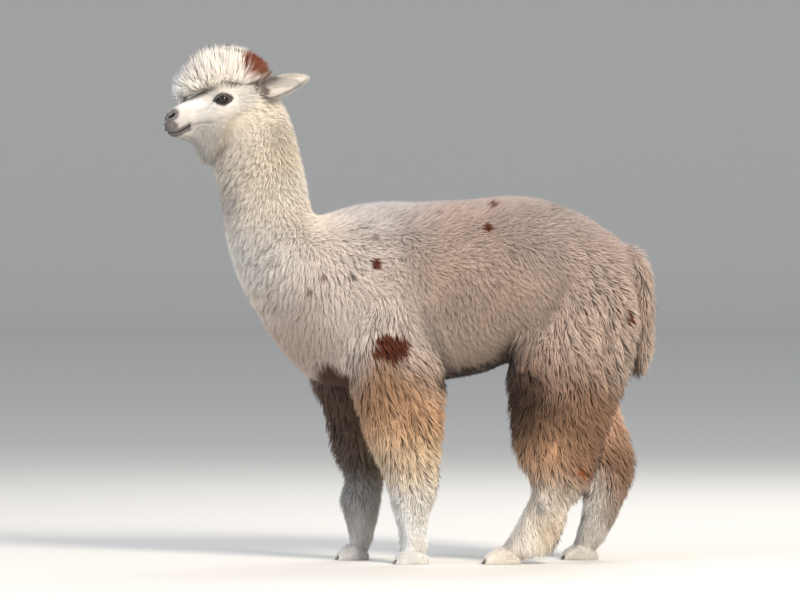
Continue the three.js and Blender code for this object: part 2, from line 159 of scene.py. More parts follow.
FORE_RIGHT = stations(
    (-121, 742, -14, 750, 42, 16, 38, 5.4, 128),
    (-206, 630, -21, 642, 62, 18, 40, 5.4, 132),
    (-258, 530, -26, 542, 72, 20, 44, 5.6, 126),
    (-257, 452, -21, 458, 73, 21, 48, 5.8, 114),
    (-231, 396, -24, 396, 68, 21, 50, 5.8, 106),
    (-216, 328, -38, 323, 62, 20, 48, 5.6, 101),
    (-196, 264, -54, 258, 54, 18, 42, 5.2, 98),
    (-171, 208, -64, 202, 46, 15, 34, 4.6, 98),
    (-180, 154, -72, 150, 42, 10, 26, 3.8, 98),
    (-166, 100, -82, 98, 35, 5.5, 20, 3.0, 98),
    (-154, 50, -98, 52, 28, 4, 17, 2.6, 98),
    (-156, 16, -104, 16, 24, 3, 14, 2.4, 98),
)

HIND_LEFT = stations(
    (344, 742, 464, 780, 40, 15, 34, 5.4, 118),  # hip
    (279, 655, 551, 700, 66, 17, 38, 5.4, 122),
    (241, 568, 572, 610, 84, 19, 42, 5.6, 122),
    (231, 480, 559, 505, 87, 21, 48, 5.8, 118),  # stifle
    (239, 400, 518, 402, 81, 22, 52, 6.0, 113),
    (244, 325, 486, 322, 71, 22, 52, 6.0, 108),
    (261, 265, 467, 252, 61, 20, 48, 5.6, 105),
    (291, 218, 444, 196, 51, 16, 40, 5.0, 104),  # hock
    (297, 183, 404, 150, 42, 11, 32, 4.4, 104),
    (281, 142, 388, 98, 37, 9, 30, 4.0, 104),
    (259, 98, 356, 44, 33, 7, 26, 3.6, 104),  # feather
    (239, 62, 314, 20, 29, 5, 19, 2.8, 104),
    (222, 36, 274, 10, 26, 3.5, 15, 2.4, 104),
)

HIND_RIGHT = stations(
    (374, 742, 489, 780, 40, 15, 34, 5.4, 118),
    (319, 655, 549, 692, 66, 17, 38, 5.4, 122),
    (291, 568, 566, 600, 82, 19, 42, 5.6, 122),
    (299, 480, 554, 500, 84, 21, 48, 5.8, 118),
    (326, 402, 531, 403, 78, 22, 52, 6.0, 113),
    (361, 328, 551, 332, 68, 22, 52, 6.0, 108),
    (394, 264, 567, 262, 60, 20, 48, 5.6, 105),
    (424, 206, 561, 206, 51, 17, 42, 5.0, 104),
    (431, 158, 541, 156, 44, 12, 34, 4.4, 104),
    (428, 114, 522, 108, 39, 9, 26, 3.8, 104),
    (419, 72, 496, 64, 32, 5.5, 20, 3.0, 104),
    (411, 34, 471, 30, 27, 4, 17, 2.6, 104),
    (412, 14, 466, 12, 23, 3, 14, 2.4, 104),
)


class Lie(Enum):
    """Which way the hair of a form lies."""

    BODY = "back and down over neck and trunk"
    FACE = "from the nose back over the head"
    CROWN = "fanned up and out from the brow"
    LEG = "down the leg"
    TAIL = "down the tail"


# How far apart tufts stand, as a share of the widths in the tables.
SPACING = {Lie.BODY: 0.60, Lie.FACE: 0.58, Lie.CROWN: 0.57, Lie.LEG: 0.76, Lie.TAIL: 0.7}


# ---- Curves, noise and meshes ----

def smoothstep(low: float, high: float, value: Array) -> Array:
    """Rises from 0 at low to 1 at high along 3t² - 2t³, or falls where low is above high."""
    t = np.clip((value - low) / (high - low), 0.0, 1.0)
    return t * t * (3.0 - 2.0 * t)


def bell(distance: Array, width: float) -> Array:
    """Falls from 1 at no distance along exp(-(distance / width)²)."""
    return np.exp(-((distance / width) ** 2))


def in_mm(points: Array) -> Array:
    """The points' x, y and z in millimetres, one row each."""
    return points.T / MM


def dot(a: Array, b: Array) -> Array:
    """Dot product of each pair of rows, as a column."""
    return np.sum(a * b, axis=1)[:, None]


def unit(vectors: Array) -> Array:
    """The vectors at length 1."""
    return vectors / np.maximum(np.linalg.norm(vectors, axis=-1, keepdims=True), 1e-12)


def spline(values: Array, at: Array) -> Array:
    """Smooth curve through equally spaced values.

    Between two values it is the uniform Catmull-Rom cubic: its slope at a value is half the step from the
    one before to the one after. The ends run out straight.

    Args:
        values: One row for each station.
        at: Positions counted in stations, from 0.

    Returns:
        One row for each position.
    """
    ends = (2 * values[:1] - values[1:2], 2 * values[-1:] - values[-2:-1])
    padded = np.concatenate([ends[0], values, ends[1]])
    first = np.clip(at.astype(int), 0, len(values) - 2)
    t = (at - first)[:, None]
    p0, p1, p2, p3 = (padded[first + k] for k in range(4))
    square, cube = 2 * p0 - 5 * p1 + 4 * p2 - p3, 3 * p1 - p0 - 3 * p2 + p3
    return p1 + 0.5 * t * (p2 - p0 + t * (square + t * cube))


def lattice(cells: Array, seed: int) -> Array:
    """A repeatable random number from 0 to 1 for each whole-number cell: its place, mixed by bits."""
    x, y, z = np.moveaxis(cells, -1, 0)
    mixed = x * 73856093 ^ y * 19349663 ^ z * 83492791 ^ seed * 2654435761
    mixed = (mixed ^ (mixed >> 15)) * 2246822519 & 0xFFFFFFFF
    mixed = (mixed ^ (mixed >> 13)) * 3266489917 & 0xFFFFFFFF
    return ((mixed ^ (mixed >> 16)) & 0xFFFFFF) / 0xFFFFFF


def noise(points: Array, size: float, seed: int) -> Array:
    """Value noise from -1 to 1: random numbers on a cubic lattice of that size, blended by smoothstep."""
    scaled = points / size
    cell = np.floor(scaled).astype(np.int64)
    t = smoothstep(0.0, 1.0, scaled - cell)
    total = np.zeros(len(points))
    for corner in np.ndindex(2, 2, 2):
        share = np.prod(np.where(np.array(corner) == 1, t, 1.0 - t), axis=1)
        total += share * lattice(cell + np.array(corner), seed)
    return 2.0 * total - 1.0


def layered(points: Array, size: float, seed: int) -> Array:
    """Three octaves of noise, each half the size and half the strength of the one before."""
    return sum(noise(points, size / 2**k, seed + k) / 2**k for k in range(3)) / 1.75


def lock_cells(points: Array, size: float, long: float, seed: int) -> tuple[Array, Array]:
    """The lock that each point belongs to.

    Space is squeezed upright by long and cut into cubes with one lock centre at a random place in each. A
    point belongs to the nearest centre.

    Args:
        points: Places in metres.
        size: Distance between locks.
        long: How many times longer a lock is than wide.
        seed: Number of the draw.

    Returns:
        The lock's centre, and how far the point is from its edge: the distance to the next nearest centre
        less that to the nearest, as a share of the size.
    """
    squeeze = np.array([1.0, 1.0, 1.0 / long])
    squeezed = points * squeeze
    cell = np.floor(squeezed / size).astype(np.int64)
    nearest, second = np.full((2, len(points)), np.inf)
    centre = np.zeros_like(points)
    for offset in np.ndindex(3, 3, 3):
        near = cell + np.array(offset) - 1
        jitter = np.stack([lattice(near, seed + k) for k in range(3)], axis=1)
        candidate = (near + jitter) * size
        gap = np.sqrt(np.sum((candidate - squeezed) ** 2, axis=1))
        closer = gap < nearest
        second = np.where(closer, nearest, np.minimum(second, gap))
        nearest = np.where(closer, gap, nearest)
        centre[closer] = candidate[closer]
    return centre / squeeze, (second - nearest) / size


def distance_to_path(x: Array, z: Array, path: tuple[tuple[float, float], ...]) -> Array:
    """Shortest distance in side view from each point to a path of straight pieces, in the path's unit."""
    best = np.full(x.shape, np.inf)
    for (ax, az), (bx, bz) in zip(path[:-1], path[1:]):
        length = (bx - ax) ** 2 + (bz - az) ** 2
        t = np.clip(((x - ax) * (bx - ax) + (z - az) * (bz - az)) / length, 0.0, 1.0)
        best = np.minimum(best, np.hypot(x - ax - t * (bx - ax), z - az - t * (bz - az)))
    return best


def graded(spans: tuple[int, ...]) -> Array:
    """Positions in stations with that many equal steps in each span."""
    steps = [k + np.arange(count) / count for k, count in enumerate(spans)]
    return np.concatenate(steps + [np.array([float(len(spans))])])


def make_object(name: str, verts: Array, tris: Array) -> bpy.types.Object:
    """A smooth-shaded mesh object from whole arrays.

    Args:
        name: The object's name.
        verts: Positions in metres, one row each.
        tris: Vertex numbers, three to a row.

    Returns:
        The object, linked into the scene.
    """
    mesh = bpy.data.meshes.new(name)
    mesh.vertices.add(len(verts))
    mesh.vertices.foreach_set("co", np.ascontiguousarray(verts, np.float32).ravel())
    mesh.loops.add(tris.size)
    mesh.loops.foreach_set("vertex_index", np.ascontiguousarray(tris, np.int32).ravel())
    mesh.polygons.add(len(tris))
    mesh.polygons.foreach_set("loop_start", np.arange(0, tris.size, 3, dtype=np.int32))
    mesh.update(calc_edges=True)
    mesh.polygons.foreach_set("use_smooth", np.ones(len(tris), bool))
    thing = bpy.data.objects.new(name, mesh)
    bpy.context.scene.collection.objects.link(thing)
    return thing


def mesh_arrays(thing: bpy.types.Object) -> tuple[Array, Array]:
    """Positions and triangles of an object with its modifiers applied."""
    evaluated = thing.evaluated_get(bpy.context.evaluated_depsgraph_get())
    mesh = evaluated.to_mesh()
    mesh.calc_loop_triangles()
    verts = np.empty(len(mesh.vertices) * 3)
    mesh.vertices.foreach_get("co", verts)
    tris = np.empty(len(mesh.loop_triangles) * 3, np.int32)
    mesh.loop_triangles.foreach_get("vertices", tris)
    evaluated.to_mesh_clear()
    return verts.reshape(-1, 3), tris.reshape(-1, 3)


def normals_of(verts: Array, tris: Array) -> Array:
    """Unit normal at each vertex: the sum of the cross products of the triangles round it."""
    corner = verts[tris]
    cross = np.cross(corner[:, 1] - corner[:, 0], corner[:, 2] - corner[:, 0])
    sums = [sum(np.bincount(tris[:, k], part, len(verts)) for k in range(3)) for part in cross.T]
    return unit(np.stack(sums, axis=1))


def paint(thing: bpy.types.Object, colours: Array) -> None:
    """Stores one linear colour for each vertex as the tint attribute."""
    layer = thing.data.color_attributes.new(TINT, "FLOAT_COLOR", "POINT")
    rgba = np.column_stack([colours, np.ones(len(colours))]).astype(np.float32)
    layer.data.foreach_set("color", rgba.ravel())


def settle(piece: bpy.types.Object, finish: Finish, slot: str) -> None:
    """Gives a piece its material and its body."""
    piece.data.materials.append(finish.material())
    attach(piece, "root")
    LOG.info("%s: %d triangles", piece.name, len(piece.data.polygons))


def hand(side: int) -> str:
    """The word for a side."""
    return "left" if side == LEFT else "right"


def shell(grid: Array, dome: float = 0.0, dome_rings: int = 0) -> tuple[Array, Array]:
    """A closed surface from a grid of rings.

    Ring joins ring by two triangles a cell. Each end closes on a pole at the ring's middle, and swells
    out before it by a quarter ellipse of the dome's height where there are dome rings.

    Args:
        grid: Rings by columns by 3.
        dome: Height of the end domes in metres.
        dome_rings: Rings in each dome.

    Returns:
        Positions and triangles.
    """
    start, end = grid[0].mean(axis=0), grid[-1].mean(axis=0)
    out_start = unit(start - grid[1].mean(axis=0))
    out_end = unit(end - grid[-2].mean(axis=0))
    turn = np.linspace(0.0, math.pi / 2, dome_rings + 2)[1:-1, None, None]
    first = start + (grid[0] - start) * np.cos(turn) + out_start * dome * np.sin(turn)
    last = end + (grid[-1] - end) * np.cos(turn) + out_end * dome * np.sin(turn)
    rings = np.concatenate([first[::-1], grid, last])
    rows, columns = rings.shape[:2]
    ring = np.arange(columns)
    after = (ring + 1) % columns
    first_of = np.arange(rows - 1)[:, None] * columns
    a, b = (first_of + ring).ravel(), (first_of + after).ravel()
    sides = np.concatenate([np.stack([a, b, a + columns], 1), np.stack([b, b + columns, a + columns], 1)])
    pole = rows * columns
    fans = np.concatenate([
        np.stack([after, ring, np.full(columns, pole)], 1),
        np.stack([ring + pole - columns, after + pole - columns, np.full(columns, pole + 1)], 1),
    ])
    poles = np.stack([start + out_start * dome, end + out_end * dome])
    return outward(np.concatenate([rings.reshape(-1, 3), poles]), np.concatenate([sides, fans]))


def outward(verts: Array, tris: Array) -> tuple[Array, Array]:
    """The surface with its faces outwards: all are reversed where the sum of a · (b × c) is negative."""
    a, b, c = verts[tris[:, 0]], verts[tris[:, 1]], verts[tris[:, 2]]
    volume = np.sum(a * np.cross(b, c))
    return verts, tris if volume > 0 else tris[:, ::-1]


def joined(pieces: list[tuple[Array, Array]]) -> tuple[Array, Array]:
    """Several surfaces as one pair of arrays."""
    starts = np.cumsum([0] + [len(verts) for verts, _ in pieces[:-1]])
    verts = np.concatenate([verts for verts, _ in pieces])
    return verts, np.concatenate([tris + start for (_, tris), start in zip(pieces, starts)])


# ---- Forms ----

@dataclass(frozen=True)
class Form:
    """A stretch of the body lofted through its stations, with the coat it carries."""

    name: str
    stations: tuple[Station, ...]
    lie: Lie
    side: int = 0
    under: float = 1.0  # share of the coat's depth that is left at the section's front or lower edge

    def thinning(self, turns: Array) -> Array:
        """Share of the coat's depth round the section: from under at the lower edge to 1 at the upper."""
        return self.under + (1 - self.under) * (0.5 + 0.5 * np.cos(turns)) ** 0.6

    def rings(self, at: Array, turns: Array, bare: bool = True) -> Array:
        """Rings of the form's surface.

        A ring is a superellipse about the middle of the station's two edges: half their distance times
        cos a along them and half the width times sin a across, each raised to 2 over its squareness.

        Args:
            at: Positions along the form, counted in stations.
            turns: Angles round the section, 0 at the back or top edge.
            bare: Whether the coat's depth is taken off.

        Returns:
            Rings by columns by 3, in metres.
        """
        rows = spline(np.array(self.stations, float), at)
        fx, fz, bx, bz, half, depth, _, _, y, wide, square = rows.T[:, :, None]
        inset = depth * self.thinning(turns) if bare else 0.0
        power = 2.0 / square
        c = np.sign(np.cos(turns)) * np.abs(np.cos(turns)) ** power
        s = np.sign(np.sin(turns)) * np.abs(np.sin(turns)) ** power
        length = np.hypot(bx - fx, bz - fz)
        reach = np.maximum(length / 2 - inset, 1.0) / length
        x = (fx + bx) / 2 + (bx - fx) * reach * c
        z = (fz + bz) / 2 + (bz - fz) * reach * c
        across = y * (self.side or 1) - np.maximum(half - inset, 1.0) * (1 + wide * c) * s
        return np.stack([x, across, z], axis=2) * MM

    def core(self, per_span: int = 3, columns: int = 32) -> tuple[Array, Array]:
        """The closed bare surface, its ends drawn in by the coat's depth."""
        last = len(self.stations) - 1
        grid = self.rings(np.linspace(0, last, last * per_span + 1), circle(columns))
        for end, inner in ((0, 1), (-1, -2)):
            inward = unit(grid[inner].mean(axis=0) - grid[end].mean(axis=0))
            grid[end] += inward * self.stations[end].depth * MM
        return shell(grid)

    def samples(self, per_span: int = 3, columns: int = 30) -> tuple[Array, Array]:
        """Points of the bare surface with their place on its unwrap: station, and share of a turn."""
        last = len(self.stations) - 1
        at, turns = np.linspace(0, last, last * per_span + 1), circle(columns)
        places = np.stack(np.meshgrid(at, turns / (2 * math.pi), indexing="ij"), axis=2)
        return self.rings(at, turns).reshape(-1, 3), places.reshape(-1, 2)

    def coat_at(self, at: Array, turn: Array) -> tuple[Array, Array, Array]:
        """The coat's depth and its tufts' length and width at places on the unwrap, in metres."""
        rows = spline(np.array(self.stations, float), np.clip(at, 0, len(self.stations) - 1))
        depth, length, width = rows[:, 5:8].T * MM
        return depth * self.thinning(2 * math.pi * turn), length, width


def circle(columns: int) -> Array:
    """Equal steps round a full turn."""
    return np.arange(columns) * (2 * math.pi / columns)


TRUNK_FORM = Form("torso", TORSO, Lie.BODY)
HEAD_FORM = Form("head", HEAD, Lie.FACE)
CROWN_FORM = Form("topknot", TOPKNOT, Lie.CROWN, under=0.7)
TAIL_FORM = Form("tail", TAIL, Lie.TAIL)
LEG_FORMS = (
    Form("fore_leg_left", FORE_LEFT, Lie.LEG, LEFT),
    Form("fore_leg_right", FORE_RIGHT, Lie.LEG, RIGHT),
    Form("hind_leg_left", HIND_LEFT, Lie.LEG, LEFT),
    Form("hind_leg_right", HIND_RIGHT, Lie.LEG, RIGHT),
)
FORMS = (TRUNK_FORM, HEAD_FORM, CROWN_FORM, TAIL_FORM) + LEG_FORMS


@dataclass(frozen=True)
class Foot:
    """A two-toed foot: where its toes begin and end (mm)."""

    leg: str
    side: int
    tip: float
    heel: float
    y: float
    half: float = 15.0
    apart: float = 14.0
    splay: float = 5.0
    nail_reach: float = 9.0

    def toe(self, outer: int) -> tuple[Array, Array]:
        """One toe: a full rounded loft from tip to heel, flat where it stands."""
        length = self.heel - self.tip - self.nail_reach
        shares = np.array([1.0, 0.95, 0.8, 0.5, 0.2, 0.0])
        heights = np.array([14.0, 21.0, 30.0, 39.0, 34.0, 20.0])
        widths = self.half * np.array([0.55, 0.8, 0.95, 1.0, 0.95, 0.6])
        x = self.heel - shares * length
        y = self.y + outer * (self.apart + self.splay * shares)
        columns = np.broadcast_arrays(x, -8, x, heights, widths, 1.0, 6, 2, y, 0, FULL)
        form = Form("toe", stations(*zip(*columns)), Lie.LEG, self.side)
        grid = form.rings(np.linspace(0, len(shares) - 1, 21), circle(28))
        verts, tris = shell(grid, dome=2.5 * MM, dome_rings=2)
        verts[:, 2] = np.maximum(verts[:, 2], SOLE)
        return verts, tris


FEET = (
    Foot("fore_leg_left", LEFT, -44, 40, 98),
    Foot("fore_leg_right", RIGHT, -189, -110, 98),
    Foot("hind_leg_left", LEFT, 178, 268, 104),
    Foot("hind_leg_right", RIGHT, 379, 468, 104),
)


# ---- Colours and markings ----

class Hue(Enum):
    """Colours of hair and bare skin, as sRGB; some of them are laid as painted shade or painted light."""

    SNOW = "#f8f3eb"
    MILK = "#e6e0d6"
    # Laid only as the painted shade behind the face's edge.
    STONE = "#b3a38d"
    WHITE = "#d9d4cc"
    PALE_CREAM = "#f0e6d8"
    CREAM = "#eadecf"
    WARM_CREAM = "#eedfc8"
    PALE_ROSE = "#e0d2c8"
    # Painted sky light on the top line over the withers: a pale bluish grey.
    SKYLIT_GREY = "#c9c5c6"
    ROSE_FAWN = "#c6b1a4"
    GREY_FAWN = "#b29e90"
    WARM_TAN = "#e0b69a"
    FAWN = "#baa697"
    GREY_ROSE = "#b8a6a0"
    GREY_MAUVE = "#a59993"
    TAN = "#cfa480"
    BROWN = "#8b6b54"
    DARK_BROWN = "#57402f"
    UMBER = "#2f1d10"
    PITCH = "#1e1008"
    UMBER_RED = "#4c2614"
    ORANGE_RUST = "#8f4e2b"
    SHADOW_BROWN = "#5e4f43"
    # Laid only as the painted shade of the lower face.
    SMOKE = "#c0bab1"
    RUST = "#5f2e18"
    RED_RUST = "#76412f"
    COCOA = "#94704f"
    SAND = "#dcc29e"
    SILVER = "#aca8a4"
    CREASE = "#a58d7e"
    NOSE_GREY = "#5a5653"
    LIP_GREY = "#575250"
    LID_GREY = "#7c7773"
    LID = "#2b2624"
    NOSTRIL = "#16110f"

    @property
    def linear(self) -> Array:
        """The colour as linear light."""
        return linear(self.value)


def linear(colour: str) -> Array:
    """sRGB hex to linear: v / 12.92 up to 0.04045, above it ((v + 0.055) / 1.055) to the power 2.4."""
    value = np.array([int(colour[k : k + 2], 16) for k in (1, 3, 5)]) / 255
    return np.where(value <= 0.04045, value / 12.92, ((value + 0.055) / 1.055) ** 2.4)


class Zone(NamedTuple):
    """A stretch of coat that has one colour in its middle and melts into the next (mm in side view)."""

    x: float
    z: float
    reach: float
    hue: Hue
    side: int = 0


ZONES = tuple(Zone(*row) for row in (
    (-560, 1120, 70, Hue.WHITE), (-480, 1090, 60, Hue.WHITE), (-470, 1230, 90, Hue.MILK),
    (-400, 1060, 60, Hue.WARM_CREAM), (-300, 1100, 60, Hue.PALE_CREAM), (-380, 950, 80, Hue.WARM_CREAM),
    # Painted light and shade: the SILVER zones at the neck's front edge and the topknot's front are
    # painted shade, and the SNOW zone at the chest's front is painted light.
    (-478, 900, 34, Hue.SILVER), (-385, 755, 50, Hue.SNOW), (-572, 1205, 22, Hue.SILVER),
    (-360, 820, 80, Hue.PALE_CREAM), (-260, 900, 50, Hue.CREAM), (-400, 680, 70, Hue.CREAM),
    # Painted light: the zone over the withers at (-60, 900) is a pale bluish grey for the sky light on the
    # top line.
    (-60, 900, 80, Hue.SKYLIT_GREY), (-200, 740, 80, Hue.PALE_ROSE), (-120, 620, 80, Hue.PALE_ROSE),
    (-290, 580, 55, Hue.ROSE_FAWN), (160, 890, 80, Hue.GREY_ROSE), (340, 880, 80, Hue.GREY_MAUVE),
    (120, 720, 110, Hue.GREY_FAWN), (120, 530, 70, Hue.FAWN), (470, 780, 80, Hue.GREY_ROSE),
    (430, 640, 90, Hue.FAWN), (560, 650, 60, Hue.FAWN), (-50, 450, 50, Hue.COCOA),
    # Painted shade: the far (right) foreleg's zones, from (-160, 430) down to its cannon, are darker and
    # greyer than the near leg's.
    (-160, 430, 60, Hue.DARK_BROWN, RIGHT), (-10, 360, 50, Hue.TAN),
    (-130, 340, 50, Hue.SHADOW_BROWN, RIGHT), (-10, 250, 45, Hue.SAND),
    (-130, 250, 35, Hue.SHADOW_BROWN, RIGHT), (0, 130, 60, Hue.SNOW, LEFT),
    (-130, 110, 60, Hue.SILVER, RIGHT), (340, 470, 50, Hue.BROWN), (0, 40, 40, Hue.SNOW),
    # The near thigh's UMBER zone at (295, 405) is partly its dark brown coat, partly painted shade on the
    # leg's front.
    (-130, 30, 40, Hue.SNOW), (295, 405, 48, Hue.UMBER, LEFT), (300, 350, 45, Hue.DARK_BROWN, LEFT),
    (430, 380, 50, Hue.BROWN, LEFT), (340, 260, 45, Hue.TAN, LEFT), (420, 250, 40, Hue.BROWN, LEFT),
    # Painted light: the far hind leg's zone at (480, 360) is lighter where the near leg shades it.
    (480, 360, 60, Hue.WARM_TAN, RIGHT), (500, 260, 50, Hue.BROWN, RIGHT),
    (350, 150, 45, Hue.CREAM, LEFT), (280, 60, 60, Hue.PALE_CREAM), (352, 85, 26, Hue.SAND, LEFT),
    (450, 165, 30, Hue.SNOW, RIGHT), (450, 70, 50, Hue.WHITE), (575, 520, 50, Hue.FAWN),
    (0, 430, 40, Hue.BROWN, RIGHT), (380, 520, 50, Hue.FAWN), (530, 170, 34, Hue.BROWN, RIGHT),
    # Painted light: the zone at (20, 560) is lighter behind the shoulder, where its bulge shades the side.
    (520, 100, 26, Hue.BROWN, RIGHT), (-280, 930, 34, Hue.SNOW), (20, 560, 40, Hue.PALE_ROSE),
))


class Marking(NamedTuple):
    """A patch with a ragged edge (mm in side view)."""

    x: float
    z: float
    rx: float
    rz: float
    hue: Hue
    side: int = LEFT
    strength: float = 1.0
    y: float = 0.0  # distance from the midplane of its middle, where it is bounded across too
    ry: float = 1e6


MARKINGS = tuple(Marking(*row) for row in (
    (-44, 532, 42, 35, Hue.RUST), (-79, 742, 14, 13, Hue.RUST), (-81, 805, 9, 8, Hue.RUST, LEFT, 0.5),
    (-214, 707, 9, 9, Hue.RUST, LEFT, 0.7), (-246, 672, 9, 9, Hue.RUST, LEFT, 0.7),
    (209, 892, 17, 11, Hue.RUST, LEFT, 1, 66, 34), (196, 832, 12, 12, Hue.RUST),
    (76, 867, 8, 7, Hue.RUST, LEFT, 0.5), (546, 607, 12, 20, Hue.RUST, LEFT, 1, 165, 34),
    # The near thigh's UMBER patch at (288, 425) is partly its dark brown coat, partly painted shade on the
    # leg's front.
    (431, 225, 20, 10, Hue.ORANGE_RUST, LEFT, 1, 134, 26), (288, 425, 42, 52, Hue.UMBER, LEFT, 0.6),
    (326, 137, 11, 17, Hue.SILVER, LEFT, 0.8), (444, 162, 13, 13, Hue.BROWN, RIGHT, 0.7),
    (434, 105, 11, 12, Hue.SILVER, RIGHT, 0.8), (-376, 1246, 42, 42, Hue.RED_RUST, 0),
    (-376, 1180, 18, 24, Hue.SHADOW_BROWN, 0, 0.9), (-360, 1206, 24, 15, Hue.DARK_BROWN, 0, 0.7),
    (-318, 1196, 50, 13, Hue.SILVER, 0, 0.6), (140, 690, 30, 25, Hue.RUST, RIGHT),
    (-230, 820, 13, 12, Hue.RUST, RIGHT), (400, 790, 17, 14, Hue.RUST, RIGHT),
    (40, 845, 10, 9, Hue.RUST, RIGHT, 0.7),
))

# Where the white face meets the fleece of the neck, from the nape down to the throat (mm in side view).
FACE_EDGE = (
    (-376, 1190), (-392, 1160), (-402, 1142), (-430, 1127),
    (-463, 1106), (-472, 1070), (-477, 1045), (-492, 990),
)

# Where the coat's lower edge is darker, its own dark brown with painted shade over it: a path in side
# view, and how far it reaches (mm).
UNDERLINES = (
    (((100, 455), (171, 468), (239, 492), (262, 506)), 38.0, Hue.PITCH),
    (((-204, 470), (-166, 456)), 29.0, Hue.UMBER_RED),
)

# Where the coat parts in a fold, lower and with painted shade: a path in side view (mm), and how wide it
# is.
FOLDS = (
    (((28, 640), (58, 560), (84, 486), (100, 440)), 16.0),
    (((372, 712), (330, 620), (276, 545), (232, 500)), 18.0),
    (FACE_EDGE[3:], 6.0),
)


def mixed(colour: Array, share: Array, other: Array) -> Array:
    """The colour moved to another by a share, one for each row."""
    return colour + share[:, None] * (other - colour)


def coat_colour(points: Array) -> Array:
    """The coat's linear colour at places on the skin.

    The zones' colours are mixed by weights exp(-d²/2r²), with d the distance in side view and r a zone's
    reach, after the place is shifted by a slow noise; a few zones are painted shade or painted light. The
    white face greys towards the jaw with painted shade, the nose's bridge gets a painted highlight, and a
    band behind the face's edge gets painted shade. Markings replace the mix inside ragged ellipses, and
    painted shade over the coat's own dark brown darkens the belly and brisket along the underlines.

    Args:
        points: Places in metres.

    Returns:
        Linear RGB, one row each.
    """
    wander, out = 14, np.abs(points[:, 1])
    x, y, z = in_mm(points)
    drift_x, drift_z = x + wander * noise(points, 0.06, 11), z + wander * noise(points, 0.06, 12)
    side = np.sign(y)
    total, colour = np.full(len(points), 1e-9), np.zeros((len(points), 3))
    for zone in ZONES:
        weight = np.exp(-((drift_x - zone.x) ** 2 + (drift_z - zone.z) ** 2) / (2 * zone.reach**2))
        if zone.side:
            weight *= out * (side == zone.side) / (0.03 + out)
        weight += 1e-12
        total += weight
        colour += weight[:, None] * zone.hue.linear
    colour /= total[:, None]
    behind = behind_face(points)
    face = smoothstep(7, -7, behind + 5 * noise(points, 0.02, 21)) * (z > 960) * smoothstep(1215, 1185, z)
    # Painted shade and light: the white face turns grey towards the jaw, and the bridge of the nose gets a
    # painted highlight.
    plain = mixed(Hue.SMOKE.linear, smoothstep(1080, 1140, z), Hue.WHITE.linear)
    colour = mixed(colour, face, mixed(plain, 0.85 * bridge(points), Hue.SNOW.linear))
    # Painted shade: a grey-tan band just behind the face's edge, where the cheek meets the neck's fleece.
    collar_shade = 0.6 * bell(behind - 14, 13) * smoothstep(970, 1010, z) * smoothstep(1135, 1110, z)
    colour = mixed(colour, collar_shade, Hue.STONE.linear)
    ragged = 0.22 * noise(points, 0.012, 31) + 0.12 * noise(points, 0.005, 32)
    for mark in MARKINGS:
        inside = np.hypot((x - mark.x) / mark.rx, (z - mark.z) / mark.rz)
        inside = np.hypot(inside, (np.abs(y) - mark.y) / mark.ry) + ragged
        share = mark.strength * smoothstep(1.08, 0.92, inside) * ((side == mark.side) | (mark.side == 0))
        colour = mixed(colour, share, mark.hue.linear)
    # Painted shade under the belly and the brisket, over their own dark brown.
    for path, reach, hue in UNDERLINES:
        share = smoothstep(1.3, 0.5, distance_to_path(x, z, path) / reach + 1.5 * ragged)
        colour = mixed(colour, share * (0.95 * smoothstep(165, 135, np.abs(y))), hue.linear)
    mottle = 1.0 + 0.10 * layered(points, 0.09, 41) + 0.06 * noise(points, 0.02, 42)
    return np.clip(colour * mottle[:, None], 0.0, 0.92)


def bridge(points: Array) -> Array:
    """Share of the bridge of the nose at each place, where a highlight is painted: all of it above the
    cheek and before the eye.
    """
    x, _, z = in_mm(points)
    return smoothstep(1130, 1144, z) * smoothstep(-508, -530, x)


def behind_face(points: Array) -> Array:
    """How far each place lies behind the face's edge, in mm, measured level in side view."""
    x, _, z = in_mm(points)
    edge_x, edge_z = np.array(FACE_EDGE[::-1], float).T
    return x - np.interp(z, edge_z, edge_x)


def fold_depth(points: Array) -> Array:
    """How deep in a fold each place lies, from 0 to 1: a bell of the distance to its path."""
    x, y, z = in_mm(points)
    depth = [bell(distance_to_path(x, z, path), width) for path, width in FOLDS]
    return np.max(depth, axis=0) * np.where(x < -400, 1.0, smoothstep(60, 110, np.abs(y)))


# ---- The head ----

